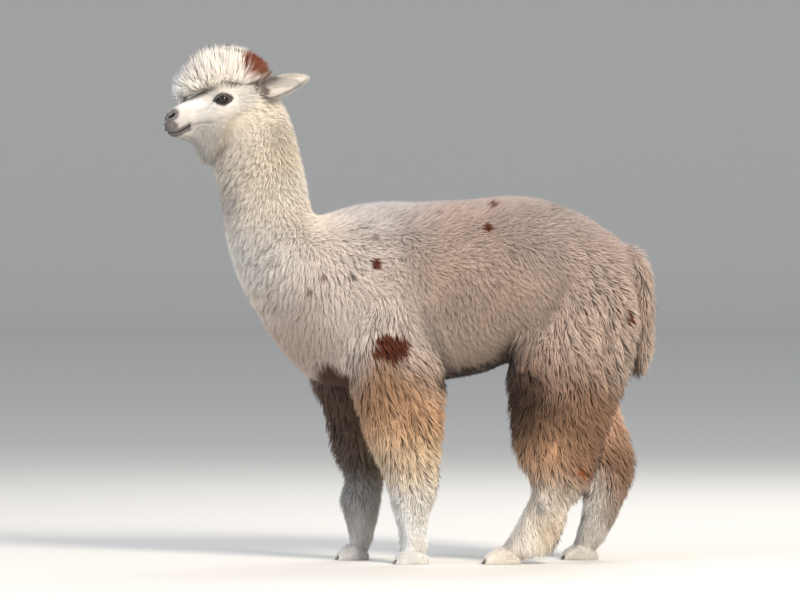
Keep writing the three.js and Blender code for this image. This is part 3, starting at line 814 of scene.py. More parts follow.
@dataclass(frozen=True)
class Orbit:
    """An eye and its lids, in side view about the eyeball's middle (mm)."""

    x: float = -467.0
    z: float = 1156.0
    y: float = 43.0
    radius: float = 18.0
    lid: float = 2.4
    half_length: float = 17.5
    half_height: float = 11.0
    tilt: float = 0.12
    margin: float = 1.6

    def across(self, x: Array, z: Array) -> tuple[Array, Array]:
        """Side-view places as distance back along the opening and above it."""
        dx, dz = x - self.x, z - self.z
        cos, sin = math.cos(self.tilt), math.sin(self.tilt)
        return dx * cos + dz * sin, -dx * sin + dz * cos

    def seen(self, along: Array, above: Array) -> tuple[Array, Array]:
        """The other way: x and z in side view of places along and above the opening."""
        cos, sin = math.cos(self.tilt), math.sin(self.tilt)
        return self.x + along * cos - above * sin, self.z + along * sin + above * cos

    def rim(self, along: Array) -> Array:
        """Half height of the almond opening: a parabola that ends at the corners."""
        return self.half_height * np.clip(1 - (along / self.half_length) ** 2, 0, None)

    def off_rim(self, along: Array, above: Array, half: float) -> Array:
        """Distance outside the opening, its length taken as twice half."""
        past = np.clip(np.abs(along) - half, 0, None)
        return np.hypot(past, np.clip(np.abs(above) - self.rim(along), 0, None))

    def ball(self, reach: Array, radius: float) -> Array:
        """Distance from the midplane of a sphere about the eye, where it is reach away in side view."""
        return self.y + np.sqrt(np.clip(radius**2 - reach**2, 0, None))

    def lids(self, reach: Array) -> Array:
        """The lids' outer surface: the sphere, and past four fifths of its radius a straight cone."""
        radius = self.radius + self.lid
        edge = 0.8 * radius
        return self.ball(np.minimum(reach, edge), radius) - 1.15 * np.clip(reach - edge, 0, None)

    def margin_tube(self, side: int, steps: int = 96, sides: int = 10) -> tuple[Array, Array]:
        """The rounded edge of the lids: a tube along the almond, lying on the eyeball."""
        turn, spin = circle(steps), circle(sides)
        along = self.half_length * np.cos(turn)
        above = np.sign(np.sin(turn)) * self.rim(along)
        above += 1.2 * np.sin(turn) * np.abs(np.cos(turn)) ** 6
        x, z = self.seen(along, above)
        y = side * self.ball(np.hypot(along, above), self.radius + 0.7)
        path = np.stack([x, y, z], 1)
        ahead = unit(np.roll(path, -1, 0) - np.roll(path, 1, 0))
        out = unit(path - np.array([self.x, side * self.y, self.z]))
        wide = np.cross(ahead, out)
        size = self.margin * (0.75 + 0.25 * np.abs(np.sin(turn)))[:, None, None]
        ring = np.cos(spin)[:, None] * out[:, None] + np.sin(spin)[:, None] * wide[:, None]
        verts = (path[:, None] + size * ring).reshape(-1, 3) * MM
        k, j = np.divmod(np.arange(steps * sides), sides)
        here, there = k * sides, (k + 1) % steps * sides
        a, b, c, d = here + j, here + (j + 1) % sides, there + j, there + (j + 1) % sides
        return outward(verts, np.concatenate([np.stack([a, c, b], 1), np.stack([b, c, d], 1)]))


CREASE = ((-541, 1091), (-518, 1098), (-498, 1098))  # of the cheek, behind the mouth's corner

# Raised and sunken lines of the face: height and width in mm, and the path in side view.
FACE_LINES = (
    (-2.2, 3.0, ((-485, 1152), (-497, 1143), (-507, 1132))),  # tear duct
    (4.2, 9, ((-470, 1120), (-510, 1106), (-545, 1100))),  # cheekbone
    (-2.6, 8, ((-498, 1130), (-545, 1124))),  # hollow above it
    (3.4, 12, ((-440, 1060), (-490, 1030), (-540, 1062))),  # jaw
)


@dataclass(frozen=True)
class Head:
    """The head's skin: muzzle with nostrils and lips, brows, lids and cheeks (mm)."""

    orbit: Orbit = Orbit()
    spans: tuple[int, ...] = (5, 12, 16, 18, 16, 22, 34, 20, 8, 6)
    columns: int = 236
    nostril: tuple[float, float] = (-597.0, 1115.0)
    mouth: tuple[tuple[float, float], ...] = (
        (-624, 1079), (-610, 1075), (-599, 1072), (-586, 1072), (-572, 1077), (-560, 1084), (-549, 1090),
    )

    def turns(self) -> Array:
        """Angles round the section, closer together at the height of the eyes and the lips."""
        even = circle(self.columns)
        return even - 0.15 * np.sin(2 * even) - 0.06 * np.sin(4 * even)

    def surface(self) -> tuple[Array, Array]:
        """The head as one closed surface.

        A smooth maximum, s ln(exp(a / s) + exp(b / s)), raises the loft to the lids' sphere round each
        eye. Every point moves along its normal by the relief. The opening is sunk behind the eyeball.
        """
        grid = HEAD_FORM.rings(graded(self.spans), self.turns()) / MM
        side = np.where(grid[..., 1] < 0, LEFT, RIGHT)
        x, y, z = grid[..., 0], np.abs(grid[..., 1]), grid[..., 2]
        orbit = self.orbit
        reach = np.hypot(x - orbit.x, z - orbit.z)
        softness = 4.0
        raised = softness * np.logaddexp(y / softness, orbit.lids(reach) / softness)
        y = np.where((reach < 60) & (y > 8), raised, y)
        grid = np.stack([x, side * y, z], 2)
        grid = grid + self.normals(grid) * self.relief(x, y, z)[..., None]
        x, y, z = grid[..., 0], np.abs(grid[..., 1]), grid[..., 2]
        along, above = orbit.across(x, z)
        inside = np.abs(above) - orbit.rim(along)
        socket = orbit.ball(np.minimum(np.hypot(along, above), orbit.radius), orbit.radius) - 4.0
        share = smoothstep(0.8, -0.8, inside) * (np.abs(along) < orbit.half_length) * (y > 20)
        y = y + share * (np.minimum(socket, y) - y)
        return shell(np.stack([x, side * y, z], 2) * MM, dome=2.2 * MM, dome_rings=3)

    @staticmethod
    def normals(grid: Array) -> Array:
        """Outward normals of a grid of rings: the cross product of its two directions."""
        ahead = np.gradient(grid, axis=0)
        around = np.roll(grid, -1, 1) - np.roll(grid, 1, 1)
        return unit(np.cross(ahead, around)) * -1.0

    def relief(self, x: Array, y: Array, z: Array) -> Array:
        """How far the skin stands out of the plain loft at each place, in mm."""
        orbit = self.orbit
        along, above = orbit.across(x, z)
        upper = above - orbit.rim(along)
        lower = -above - orbit.rim(along)
        near = smoothstep(26, 16, np.abs(along)) * (y > 25)
        height = np.zeros_like(x)
        for amount, middle, wide, past, here in (
            (-1.5, 6.0, 1.4, upper, above > 0), (1.2, 9.5, 3.0, upper, above > 0),
            (-1.0, 5.0, 1.3, lower, above < 0), (-0.7, 9.5, 1.5, lower, above < 0),
        ):
            height += amount * bell(past - middle, wide) * near * here
        height += 4.5 * bell(np.hypot((along + 2) / 24, (above - 21) / 7), 1.0)
        for amount, wide, path in FACE_LINES:
            height += amount * bell(distance_to_path(x, z, path), wide)
        height -= 1.6 * bell(distance_to_path(x, z, CREASE), 2.6) * (y > 20)
        slit, lips = self.slit(x, z), distance_to_path(x, z, self.mouth)
        height += smoothstep(9, 16, y) * (1.8 * bell(slit - 5.5, 3.0) - 7.0 * bell(slit, 2.6))
        height += 1.6 * bell(lips - 4.5, 3.0) - 3.6 * bell(lips, 1.5)
        cleft = smoothstep(-604, -612, x) * smoothstep(1077, 1080, z) * smoothstep(1108, 1100, z)
        return height - 2.6 * cleft * bell(y, 1.4)

    def slit(self, x: Array, z: Array) -> Array:
        """Distance in side view to the nostril's comma-shaped slit."""
        cx, cz = self.nostril
        path = ((cx - 5, cz - 4), (cx, cz - 2), (cx + 5, cz + 2), (cx + 7, cz + 5))
        return distance_to_path(x, z, path)

    def clearing(self, points: Array) -> Array:
        """Length of hair from 0 to 1: none on the lids' edges, in the nostrils or between the lips."""
        x, y, z = in_mm(points)
        y = np.abs(y)
        along, above = self.orbit.across(x, z)
        eye = np.where(y > 25, smoothstep(2.0, 20.0, self.orbit.off_rim(along, above, 15)), 1.0)
        slit = np.where(y > 6, smoothstep(2.5, 7.0, self.slit(x, z)), 1.0)
        lips = smoothstep(1.6, 5.0, distance_to_path(x, z, self.mouth))
        return np.where(x < -420, np.minimum(np.minimum(eye, slit), lips), 1.0)

    def colour(self, points: Array, colour: Array) -> tuple[Array, Array]:
        """Lays the face's own colours over the coat's: nose, lips, lids and nostrils, with painted shade
        inside the nostrils, along the mouth's line and under the upper lid's fold.

        Args:
            points: Places in metres.
            colour: The coat's linear colours there.

        Returns:
            The colours with the face's laid over, and how bare the skin is, from 0 to 1.
        """
        x, y, z = in_mm(points)
        y = np.abs(y)
        along, above = self.orbit.across(x, z)
        rim = self.orbit.off_rim(along, above, 14)
        ragged = 1.5 * noise(points, 0.008, 51)
        lid = (along / 27.0) ** 2 + np.abs(above) / 14.5 + 0.06 * ragged
        slit, lips = self.slit(x, z), distance_to_path(x, z, self.mouth)
        front = np.hypot((x + 598) / 18, (z - 1090) / 12)
        at_head = (x < -420) & (z > 1040)
        layers = (
            (0.9 * smoothstep(17, 9, slit + ragged), Hue.NOSE_GREY),
            (0.9 * smoothstep(11, 6, lips + ragged) * smoothstep(-543, -552, x), Hue.LIP_GREY),
            (0.85 * smoothstep(1.25, 0.8, front + 0.1 * ragged), Hue.LIP_GREY),
            # Grey round the eye, partly the lids' grey skin and partly painted shade of the upper lid's
            # fold, so heavier above.
            ((0.35 + 0.35 * (above > 0)) * smoothstep(15, 4, rim + ragged) * (y > 30), Hue.LID_GREY),
            (0.4 * bell(distance_to_path(x, z, CREASE), 2.4) * (y > 20), Hue.CREASE),
            (smoothstep(1.25, 0.95, lid) * (y > 25), Hue.LID),
            # Painted shade: near-black inside the nostrils' slits and along the line where the lips meet.
            (smoothstep(3.6, 2.2, slit) * (y > 8), Hue.NOSTRIL),
            (smoothstep(2.0, 1.0, lips), Hue.LID),
        )
        bare = np.zeros(len(points))
        for amount, hue in layers:
            colour = mixed(colour, amount * at_head, hue.linear)
            bare = np.maximum(bare, amount * at_head)
        return colour, bare


@dataclass(frozen=True)
class Ear:
    """A leaf of skin, hollow on its outer side. Rows: front x, z, back x, z, half thickness, y (mm)."""

    side: int
    wall: float = 3.0
    rows: tuple[tuple[float, ...], ...] = (
        (-384, 1167, -374, 1198, 12, 54), (-366, 1165, -352, 1207, 13, 60),
        (-343, 1165, -326, 1213, 13, 65), (-314, 1174, -300, 1217, 10, 69),
        (-286, 1188.5, -276, 1217.5, 6.5, 71.5), (-264, 1205, -260, 1215, 2.5, 72),
    )

    def surface(self) -> tuple[Array, Array, Array]:
        """The ear as a closed surface, with each vertex's share of the way to the tip.

        At share c of its half width the inner wall lies at -h sqrt(1 - c²), h the half thickness, and the
        outer wall one skin's thickness away, both meeting in a rounded rim.
        """
        at = np.linspace(0, len(self.rows) - 1, 34)
        fx, fz, bx, bz, half, y = spline(np.array(self.rows), at).T[:, :, None]
        turn = circle(40)
        c, s = np.cos(turn), np.sin(turn)
        bowl = 1 - c**2
        leaf = -half * np.sqrt(bowl) + np.where(s > 0, self.wall * bowl**0.25, 0.0) * np.ones_like(half)
        roll = 0.35 * half * c**2
        x = (fx + bx) / 2 + (bx - fx) / 2 * c
        z = (fz + bz) / 2 + (bz - fz) / 2 * c
        across = self.side * (y + leaf + roll)
        verts, tris = shell(np.stack([x, across, z], 2) * MM, dome=1.0 * MM, dome_rings=1)
        middle = np.array([-379.0, 1182.0]) * MM
        reach = np.hypot(verts[:, 0] - middle[0], verts[:, 2] - middle[1])
        return verts, tris, reach / reach.max()


# ---- The skin ----

class Place(NamedTuple):
    """Where points of the skin lie: the form that carries them, and their place on its unwrap."""

    form: Array  # its number among FORMS
    at: Array  # position along the form, in stations
    turn: Array  # share of a turn round it


@dataclass
class Skin:
    """The one skin that carries the coat: body, legs and head grown together, with toes and ears."""

    head: Head
    ears: tuple[Ear, Ear]
    voxel: float = 8.0 * MM
    smoothing: int = 6
    verts: Array = None
    tris: Array = None
    normals: Array = None
    samples: Array = None
    sample_form: Array = None
    sample_place: Array = None
    place: Place = None

    def build(self) -> None:
        """Grows the forms into one surface: voxels melted, then the finer head and toes united."""
        cores = [form.core() for form in FORMS if form is not HEAD_FORM]
        body = make_object("body_core", *joined(cores))
        melt = body.modifiers.new("melt", "REMESH")
        melt.mode = "VOXEL"
        melt.voxel_size = self.voxel
        soften = body.modifiers.new("soften", "SMOOTH")
        soften.factor = 0.5
        soften.iterations = self.smoothing
        parts = [make_object("head_core", *self.head.surface())]
        parts += [make_object("toe_core", *foot.toe(outer)) for foot in FEET for outer in (-1, 1)]
        for part in parts:
            union = body.modifiers.new("join", "BOOLEAN")
            union.operation = "UNION"
            union.solver = "MANIFOLD"
            union.object = part
        self.verts, self.tris = mesh_arrays(body)
        x, _, z = in_mm(self.verts)
        fleshy = smoothstep(-430, -360, x) * smoothstep(150, 300, z)
        swell = 4.0 * MM * fleshy * layered(self.verts, 0.12, 5)
        self.verts = self.verts + swell[:, None] * normals_of(self.verts, self.tris)
        for spare in parts + [body]:
            bpy.data.objects.remove(spare)
        self.normals = normals_of(self.verts, self.tris)
        found = [form.samples() for form in FORMS]
        self.samples = np.concatenate([points for points, _ in found])
        self.sample_place = np.concatenate([places for _, places in found])
        self.sample_form = np.repeat(np.arange(len(FORMS)), [len(points) for points, _ in found])
        self.place = self.locate(self.verts)

    def locate(self, points: Array) -> Place:
        """The nearest sample of the forms' surfaces for each point, found block by block."""
        near, block = np.empty(len(points), int), 2000
        known = self.samples.astype(np.float32)
        squares = np.sum(known**2, axis=1)
        for start in range(0, len(points), block):
            some = points[start : start + block].astype(np.float32)
            near[start : start + block] = np.argmin(squares - 2 * some @ known.T, axis=1)
        return Place(self.sample_form[near], *self.sample_place[near].T)

    def dress(self, finish: SkinFinish) -> None:
        """Makes the skin's object with its tints and hides the parts that it replaces."""
        rims = [self.head.orbit.margin_tube(side) for side in (LEFT, RIGHT)]
        verts, tris = joined([(self.verts, self.tris)] + rims + [ear.surface()[:2] for ear in self.ears])
        depth = np.zeros(len(verts))
        for k, form in enumerate(FORMS):
            mine = np.flatnonzero(self.place.form == k)
            depth[mine] = form.coat_at(self.place.at[mine], self.place.turn[mine])[0] / MM
        crown = np.zeros(len(verts), bool)
        crown[: len(self.verts)] = self.place.form == FORMS.index(CROWN_FORM)
        # Painted shade: the skin is darker where the coat over it is deep, less under the topknot, and
        # darker again on the cheeks, so that where it shows between tufts it matches their painted shade
        # at the root.
        shade = 1.0 - np.where(crown, 0.2, 0.5) * smoothstep(3, 14, depth)
        x, _, z = in_mm(verts)
        shade *= 1 - 0.22 * smoothstep(-566, -546, x) * smoothstep(1125, 1095, z) * (z > 960)
        colours, bare = self.head.colour(verts, coat_colour(verts) * shade[:, None])
        edges = slice(len(self.verts), len(self.verts) + sum(len(points) for points, _ in rims))
        colours[edges], bare[edges] = Hue.LID.linear, 1.0
        skin = make_object("skin", verts, tris)
        paint(skin, colours)
        layer = skin.data.attributes.new("bare", "FLOAT", "POINT")
        layer.data.foreach_set("value", bare.astype(np.float32))
        legs = [f"{leg.name}_{part}" for leg in LEG_FORMS for part in ("upper", "lower", "foot")]
        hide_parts("head", "topknot", "ear_left", "ear_right", "neck", "trunk", "tail", *legs)
        settle(skin, finish, "white_hair")


# ---- The coat ----

@dataclass
class Roots:
    """Where tufts grow."""

    points: Array
    normals: Array
    place: Place

    def pick(self, chosen: Array) -> Roots:
        """Some of the roots."""
        place = Place(*(values[chosen] for values in self.place))
        return Roots(self.points[chosen], self.normals[chosen], place)


def scattered(share: Array, count: int, rng: np.random.Generator) -> Array:
    """The triangle of each of some roots, drawn at even steps of the running total of the shares.

    Args:
        share: What each triangle's number of roots is in proportion to.
        count: How many roots.
        rng: Where the random numbers come from.

    Returns:
        Triangle numbers.
    """
    total = np.cumsum(share)
    steps = (np.arange(count) + rng.random(count)) * total[-1] / count
    return np.minimum(np.searchsorted(total, steps), len(share) - 1)


def weighted(weights: Array, values: Array) -> Array:
    """Values at places in triangles, from those at their corners."""
    return np.einsum("nk,nkc->nc", weights, values)


def doubled_area(corner: Array) -> Array:
    """Twice the area of each triangle: the length of the cross product of two sides."""
    return np.linalg.norm(np.cross(corner[:, 1] - corner[:, 0], corner[:, 2] - corner[:, 0]), axis=1)


@dataclass(frozen=True)
class Lock:
    """How one stretch's tufts are shaped."""

    levels: tuple[float, ...] = (0.0,)  # rings along a tuft, before its tip
    swell: tuple[float, ...] = (1.0,)  # width at each ring
    bend: float = 0.0  # how far the tip turns back to the skin, as a share of the length
    clump: float = 26 * MM  # distance between lock centres
    long: float = 1.0  # a lock's length to its width
    gather: float = 0.35  # how far tips draw together
    cracks: float = 0.8  # how deep the gaps between locks are, and how much painted shade darkens them
    swirl: float = 24.0  # degrees that the lie wanders
    stray: float = 14.0  # degrees from tuft to tuft
    fine: float = 0.62  # share of the tables' widths that a tuft has
    flat: float = 0.6  # thickness to width
    lump: float = 0.16  # share by which the height wanders
    # Painted shade along a tuft: its colour is times root_shade at the root, rising to tip_shade at the
    # tip.
    root_shade: float = 0.55
    tip_shade: float = 1.08
    soften: float = 2.4  # how far its shading turns to the skin's own, so that the fleece looks soft
    lift: float = 0.0  # how far it turns upwards, where light comes through loose hair
    crack_edge: float = 0.24  # how wide the gaps are, as a share of the clump
    gap_shade: float = 0.5  # how dark painted shade makes the gaps
    vary: float = 0.2  # how much tufts differ in lightness
    patch: float = 0.06  # how much locks do
    scatter: float = 0.0  # how far off a tuft takes its colour


@dataclass
class Coat:
    """The fleece: tapered three-sided tufts over the skin, gathered in locks."""

    skin: Skin
    density: float = 0.80  # tufts to a square of one tuft's width
    seed: int = 7
    roots: Roots = None

    def plant(self) -> None:
        """Spreads roots over the skin, more closely where tufts are finer.

        A triangle's share is its area times the density over the square of the tuft's width there.
        """
        rng = np.random.default_rng(self.seed)
        verts, tris = self.skin.verts, self.skin.tris
        corner = verts[tris]
        area = 0.5 * doubled_area(corner)
        known = self.skin.place
        width = np.empty(len(verts))
        for k, form in enumerate(FORMS):
            mine = known.form == k
            width[mine] = form.coat_at(known.at[mine], known.turn[mine])[2] * SPACING[form.lie]
        share = area * self.density / width[tris[:, 0]] ** 2 * (corner[:, :, 2].max(axis=1) > 4 * MM)
        count = int(np.cumsum(share)[-1])
        picked = scattered(share, count, rng)
        a, b = rng.random((2, count, 1))
        flip = a + b > 1
        a, b = np.where(flip, 1 - a, a), np.where(flip, 1 - b, b)
        weights = np.concatenate([1 - a - b, a, b], axis=1)
        three = tris[picked]
        points = weighted(weights, corner[picked])
        normals = unit(weighted(weights, self.skin.normals[three]))
        form, at, turn = known.form[three], known.at[three], known.turn[three]
        same = form == form[:, :1]
        at = np.where(same, at, at[:, :1])
        turn = turn[:, :1] + (turn - turn[:, :1] + 0.5) % 1.0 - 0.5
        turn = np.where(same, turn, turn[:, :1])
        place = Place(form[:, 0], np.sum(weights * at, axis=1), np.sum(weights * turn, axis=1) % 1.0)
        self.roots = Roots(points, normals, place)
        LOG.info("coat: %d roots", count)

    @staticmethod
    def brow(points: Array) -> Array:
        """Share of the topknot's way that the head's hair takes: all of it above and behind the eyes."""
        x, _, z = in_mm(points)
        over = smoothstep(1168, 1180, z) * smoothstep(-556, -528, x)
        past = smoothstep(-434, -424, x) * smoothstep(1132, 1146, z)
        return np.maximum(over, past) * smoothstep(6, -4, behind_face(points))

    @staticmethod
    def beard(points: Array) -> Array:
        """How much longer the hair grows under the jaw: a bell about its middle, in side view."""
        x, _, z = in_mm(points)
        return bell(np.hypot((x + 526) / 32, (z - 1032) / 24), 1.0)

    @staticmethod
    def fan(roots: Roots) -> Array:
        """The topknot's way: out from a short line under the brow, and down over the forelock's front."""
        x, y, z = in_mm(roots.points)
        front, middle, back = -520, -477, -435
        start = 0.75 * np.clip(x, front, back) + 0.25 * middle
        low = 1145 + 45 * smoothstep(-525, -575, x) + 25 * smoothstep(-430, -390, x)
        fall = 200 * smoothstep(-500, -545, x) * Coat.facing(roots)
        across = (0.25 - 0.9 * smoothstep(1215, 1265, z)) * y
        return unit(np.stack([x - start, across, np.maximum(z - low, -12) - fall], 1))

    @staticmethod
    def facing(roots: Roots) -> Array:
        """How far each place faces forward, from 0 to 1, with a ragged boundary."""
        return smoothstep(0.25, 1.0, -roots.normals[:, 0] + 0.3 * noise(roots.points, 0.02, 63))

    def lie_of(self, lie: Lie, roots: Roots) -> Array:
        """The direction the hair takes before it is laid along the skin."""
        x, y, z = in_mm(roots.points)
        level = np.zeros_like(x)
        if lie is Lie.FACE:
            cheek = smoothstep(1120, 1070, z) * smoothstep(-560, -520, x)
            beard = self.beard(roots.points)
            ahead, up = 1 - 0.55 * cheek - 0.4 * beard, -0.25 - 0.75 * cheek - 0.6 * beard
            return mixed(np.stack([ahead, level, up], 1), self.brow(roots.points), self.fan(roots))
        if lie is Lie.CROWN:
            return self.fan(roots)
        if lie is Lie.LEG:
            foot = smoothstep(70, 40, z)
            back = np.cos(2 * math.pi * roots.place.turn)
            fan = (0.16 + 0.42 * back) * smoothstep(120, 240, z)
            return np.stack([fan + 0.15 - 0.8 * foot, level, -1 + 0.3 * foot], 1)
        if lie is Lie.TAIL:
            return np.stack([level + 0.12, level, level - 1], 1)
        front = smoothstep(-60, -360, x)
        low = smoothstep(620, 480, z)
        top = np.clip(roots.normals[:, 2], 0, 1) * smoothstep(-330, -230, x)
        return np.stack([0.6 - 0.95 * front - 0.2 * low + 1.2 * top**2, level, level - 0.85], 1)

    def trimmed(self, roots: Roots, form: Form) -> tuple[Roots, Array]:
        """The roots that bear hair, and what share of its length is left to it there."""
        left = self.skin.head.clearing(roots.points)
        if form.lie is Lie.LEG:
            foot = next(foot for foot in FEET if foot.leg == form.name)
            x, _, z = in_mm(roots.points)
            left = left * np.where(z < 18, smoothstep(foot.tip + 12, foot.tip + 26, x), 1.0)
        bearing = left > 0.04
        return roots.pick(bearing), 0.2 + 0.8 * left[bearing]

    def tinted(self, seen: Array, tone: Array, shades: Array) -> Array:
        """Colour of each vertex: the coat's at the tuft's place, times its tone and the vertex's shade."""
        colours = self.skin.head.colour(seen, coat_colour(seen))[0] * tone[:, None]
        return np.clip(colours[:, None] * shades[None, :, None], 0, 0.95).reshape(-1, 3)

    def grow(
        self, name: str, roots: Roots, form: Form, lock: Lock, finish: HairFinish, slot: str
    ) -> None:
        """Makes one piece of coat.

        A tuft's middle line starts under the skin and runs p + L (q t cos a + n (q sin a - bend q²)),
        where t is the lie, n the skin's normal and a the angle that brings the tip up to the coat's
        depth. The tip is then drawn towards the middle of its lock by the square of q.

        Args:
            name: The piece's name.
            roots: Where its tufts grow.
            form: The form that carries them.
            lock: How they are shaped.
            finish: What they are made of.
            slot: The piece's slot; not used.
        """
        roots, cleared = self.trimmed(roots, form)
        rng = np.random.default_rng(len(roots.points))
        p, n = roots.points, roots.normals
        count = len(p)
        x, _, z = in_mm(p)
        none = np.zeros(count)
        face, crown, leg = (form.lie is lie for lie in (Lie.FACE, Lie.CROWN, Lie.LEG))
        beard = self.beard(p) if face else none
        depth, length, width = form.coat_at(roots.place.at, roots.place.turn)
        size = 0.8 + 0.4 * rng.random(count)
        length = length * size * cleared
        width = width * lock.fine * (0.8 + 0.4 * rng.random(count))
        t = self.lie_of(form.lie, roots)
        t = unit(t - dot(t, n) * n + 1e-6)
        stray = lock.stray * (1 + 1.5 * beard) * np.clip(rng.standard_normal(count), -2, 2)
        turn = np.radians(lock.swirl * layered(p, 0.07, 61) * 1.6 + stray)
        t = t * np.cos(turn)[:, None] + np.cross(n, t) * np.sin(turn)[:, None]
        fold = fold_depth(p)
        depth = depth * cleared
        if face:
            length = length * (1 + 2.0 * beard)
            depth = depth * (1 + 3.2 * beard * rng.random(count))
            brow = self.brow(p)
            length = length + brow * (38 * MM - 0.4 * length)
            depth = depth + brow * 15 * MM
        height = depth * (1 + lock.lump * layered(p, 0.06, 71)) * (0.92 + 0.16 * rng.random(count))
        height = height * (1 - 0.55 * fold)
        if leg:
            length = length * (1 + 0.8 * bell(z - 66, 22))
        if crown:
            upright = smoothstep(1205, 1270, z)
            fringe = smoothstep(-520, -560, x) * self.facing(roots)
            sideways = np.abs(n[:, 1])
            crest = (0.2 - 0.2 * sideways + 0.25 * np.clip(n[:, 2], 0, 1) ** 3) * upright
            height = height * (0.5 - 0.12 * sideways + crest + 0.7 * fringe)
            length = length * (1.05 - (0.25 + 0.45 * sideways) * upright) + 14 * MM * fringe
        reach = p + t * (0.7 * length)[:, None]
        centre, edge = lock_cells(reach, lock.clump, lock.long, 81)
        pull = centre - reach
        pull -= dot(pull, t) * t * (1 - 1 / lock.long)
        pull -= dot(pull, n) * n
        gap = np.linalg.norm(pull, axis=1)
        shaggy = 0.2 + 0.8 * smoothstep(110, 260, z) if leg else 1 + none
        pull *= (shaggy * lock.gather * np.minimum(1.0, lock.clump / np.maximum(gap, 1e-6)))[:, None]
        patchy = lock.cracks * shaggy * smoothstep(-0.5, 0.5, layered(p, 0.12, 83))
        crack = patchy * smoothstep(lock.crack_edge, 0.03, edge)
        height *= (1.06 - 0.2 * np.clip(gap / lock.clump, 0, 1) ** 2) * (1 - 0.45 * crack)
        rise = np.clip(height / length + lock.bend, 0.02, 0.98)
        run = np.sqrt(1 - rise**2)
        hug = (length * run) ** 2 * np.abs(n[:, 1]) / (130 * MM) if crown else none
        spin = np.arange(3) * (2 * math.pi / 3) + math.pi / 2
        sink = np.minimum(2 * MM, 0.35 * depth + 0.3 * MM)
        side = np.cos(spin)[None, :, None] * np.cross(n, t)[:, None]
        thick = np.sin(spin)[None, :, None] * n[:, None]
        # Each ring's colour is scaled by painted shade: darkest at the root, a little lighter at the tip.
        rows, shades, places = [], [], []
        for q, swell in zip(lock.levels + (1.0,), lock.swell + (0.0,)):
            along = (q * run * length)[:, None] * t
            up = (length * (q * rise - lock.bend * q * q) - sink * (1 - q))[:, None] * n
            middle = (p + along + up + pull * q * q - (q * q * hug)[:, None] * n)[:, None]
            radius = (0.5 * width * swell)[:, None, None]
            if swell:
                rows.append(middle + side * radius + thick * (radius * lock.flat))
                places.append(np.stack([np.cos(spin), np.full(3, 2 * q - 1)], 1))
                shades.append(np.full(3, lock.root_shade + (lock.tip_shade - lock.root_shade) * q**0.7))
            else:
                rows.append(middle)
                places.append(np.array([[0.0, 1.0]]))
                shades.append(np.array([lock.tip_shade]))
        verts, tris, per = self.gathered(rows)
        verts[:, 2] = np.maximum(verts[:, 2], SOLE)
        # Painted shade: tufts in a fold are darker.
        tone = (1 + lock.vary * (rng.random(count) - 0.5)) * (1 - 0.35 * fold)
        tone *= 1 + lock.patch * (lattice(np.round(centre / MM).astype(np.int64), 97) - 0.5)
        # Painted shade in the gaps between locks.
        tone *= 1 - lock.gap_shade * crack
        if face:
            # Painted highlight on the bridge of the nose.
            tone *= 1 + 0.2 * bridge(p)
        seen = p + t * ((0.25 if face else 0.55) * length)[:, None]
        seen = seen + lock.scatter * rng.standard_normal((count, 3))
        piece = make_object(name, verts, tris)
        paint(piece, self.tinted(seen, tone, np.concatenate(shades)))
        lit = n + np.array([0.0, 0.0, lock.lift])
        if crown:
            lit[:, 2] = np.maximum(lit[:, 2], 0.1)
        own = normals_of(verts, tris).reshape(count, per, 3)
        soft = unit(own + lock.soften * lit[:, None]).reshape(-1, 3)
        piece.data.normals_split_custom_set_from_vertices(soft.tolist())
        self.unwrap(piece, roots.place, np.concatenate(places), tris)
        settle(piece, finish, slot)

    @staticmethod
    def gathered(rows: list[Array]) -> tuple[Array, Array, int]:
        """Tufts given ring by ring as one mesh: positions, triangles and a tuft's number of vertices."""
        verts = np.concatenate(rows, axis=1)
        count, per = verts.shape[:2]
        tris = Coat.faces(len(rows) - 1)[None] + (np.arange(count) * per)[:, None, None]
        return verts.reshape(-1, 3), tris.reshape(-1, 3), per

    @staticmethod
    def faces(rings: int) -> Array:
        """Triangles of one tuft: its root, its sides and its point."""
        found = [(0, 2, 1)]
        for ring in range(rings - 1):
            for k in range(3):
                a, b = 3 * ring + k, 3 * ring + (k + 1) % 3
                found += [(a, b, a + 3), (b, b + 3, a + 3)]
        last = 3 * (rings - 1)
        found += [(last + k, last + (k + 1) % 3, 3 * rings) for k in range(3)]
        return np.array(found)

    @staticmethod
    def unwrap(piece: bpy.types.Object, place: Place, offsets: Array, tris: Array) -> None:
        """Gives each tuft a small patch on the unwrap of its form: along it, and round it."""
        patch = 0.003
        spots = []
        for values in (place.at, place.turn):
            low, high = values.min(), values.max()
            spots.append(0.01 + 0.98 * (values - low) / max(high - low, 1e-6))
        middle = np.stack(spots, 1)
        uv = middle[:, None] + offsets[None] * (0.5 * patch)
        layer = piece.data.uv_layers.new(name=BAKE_MAP)
        layer.data.foreach_set("uv", uv.reshape(-1, 2)[tris.ravel()].astype(np.float32).ravel())


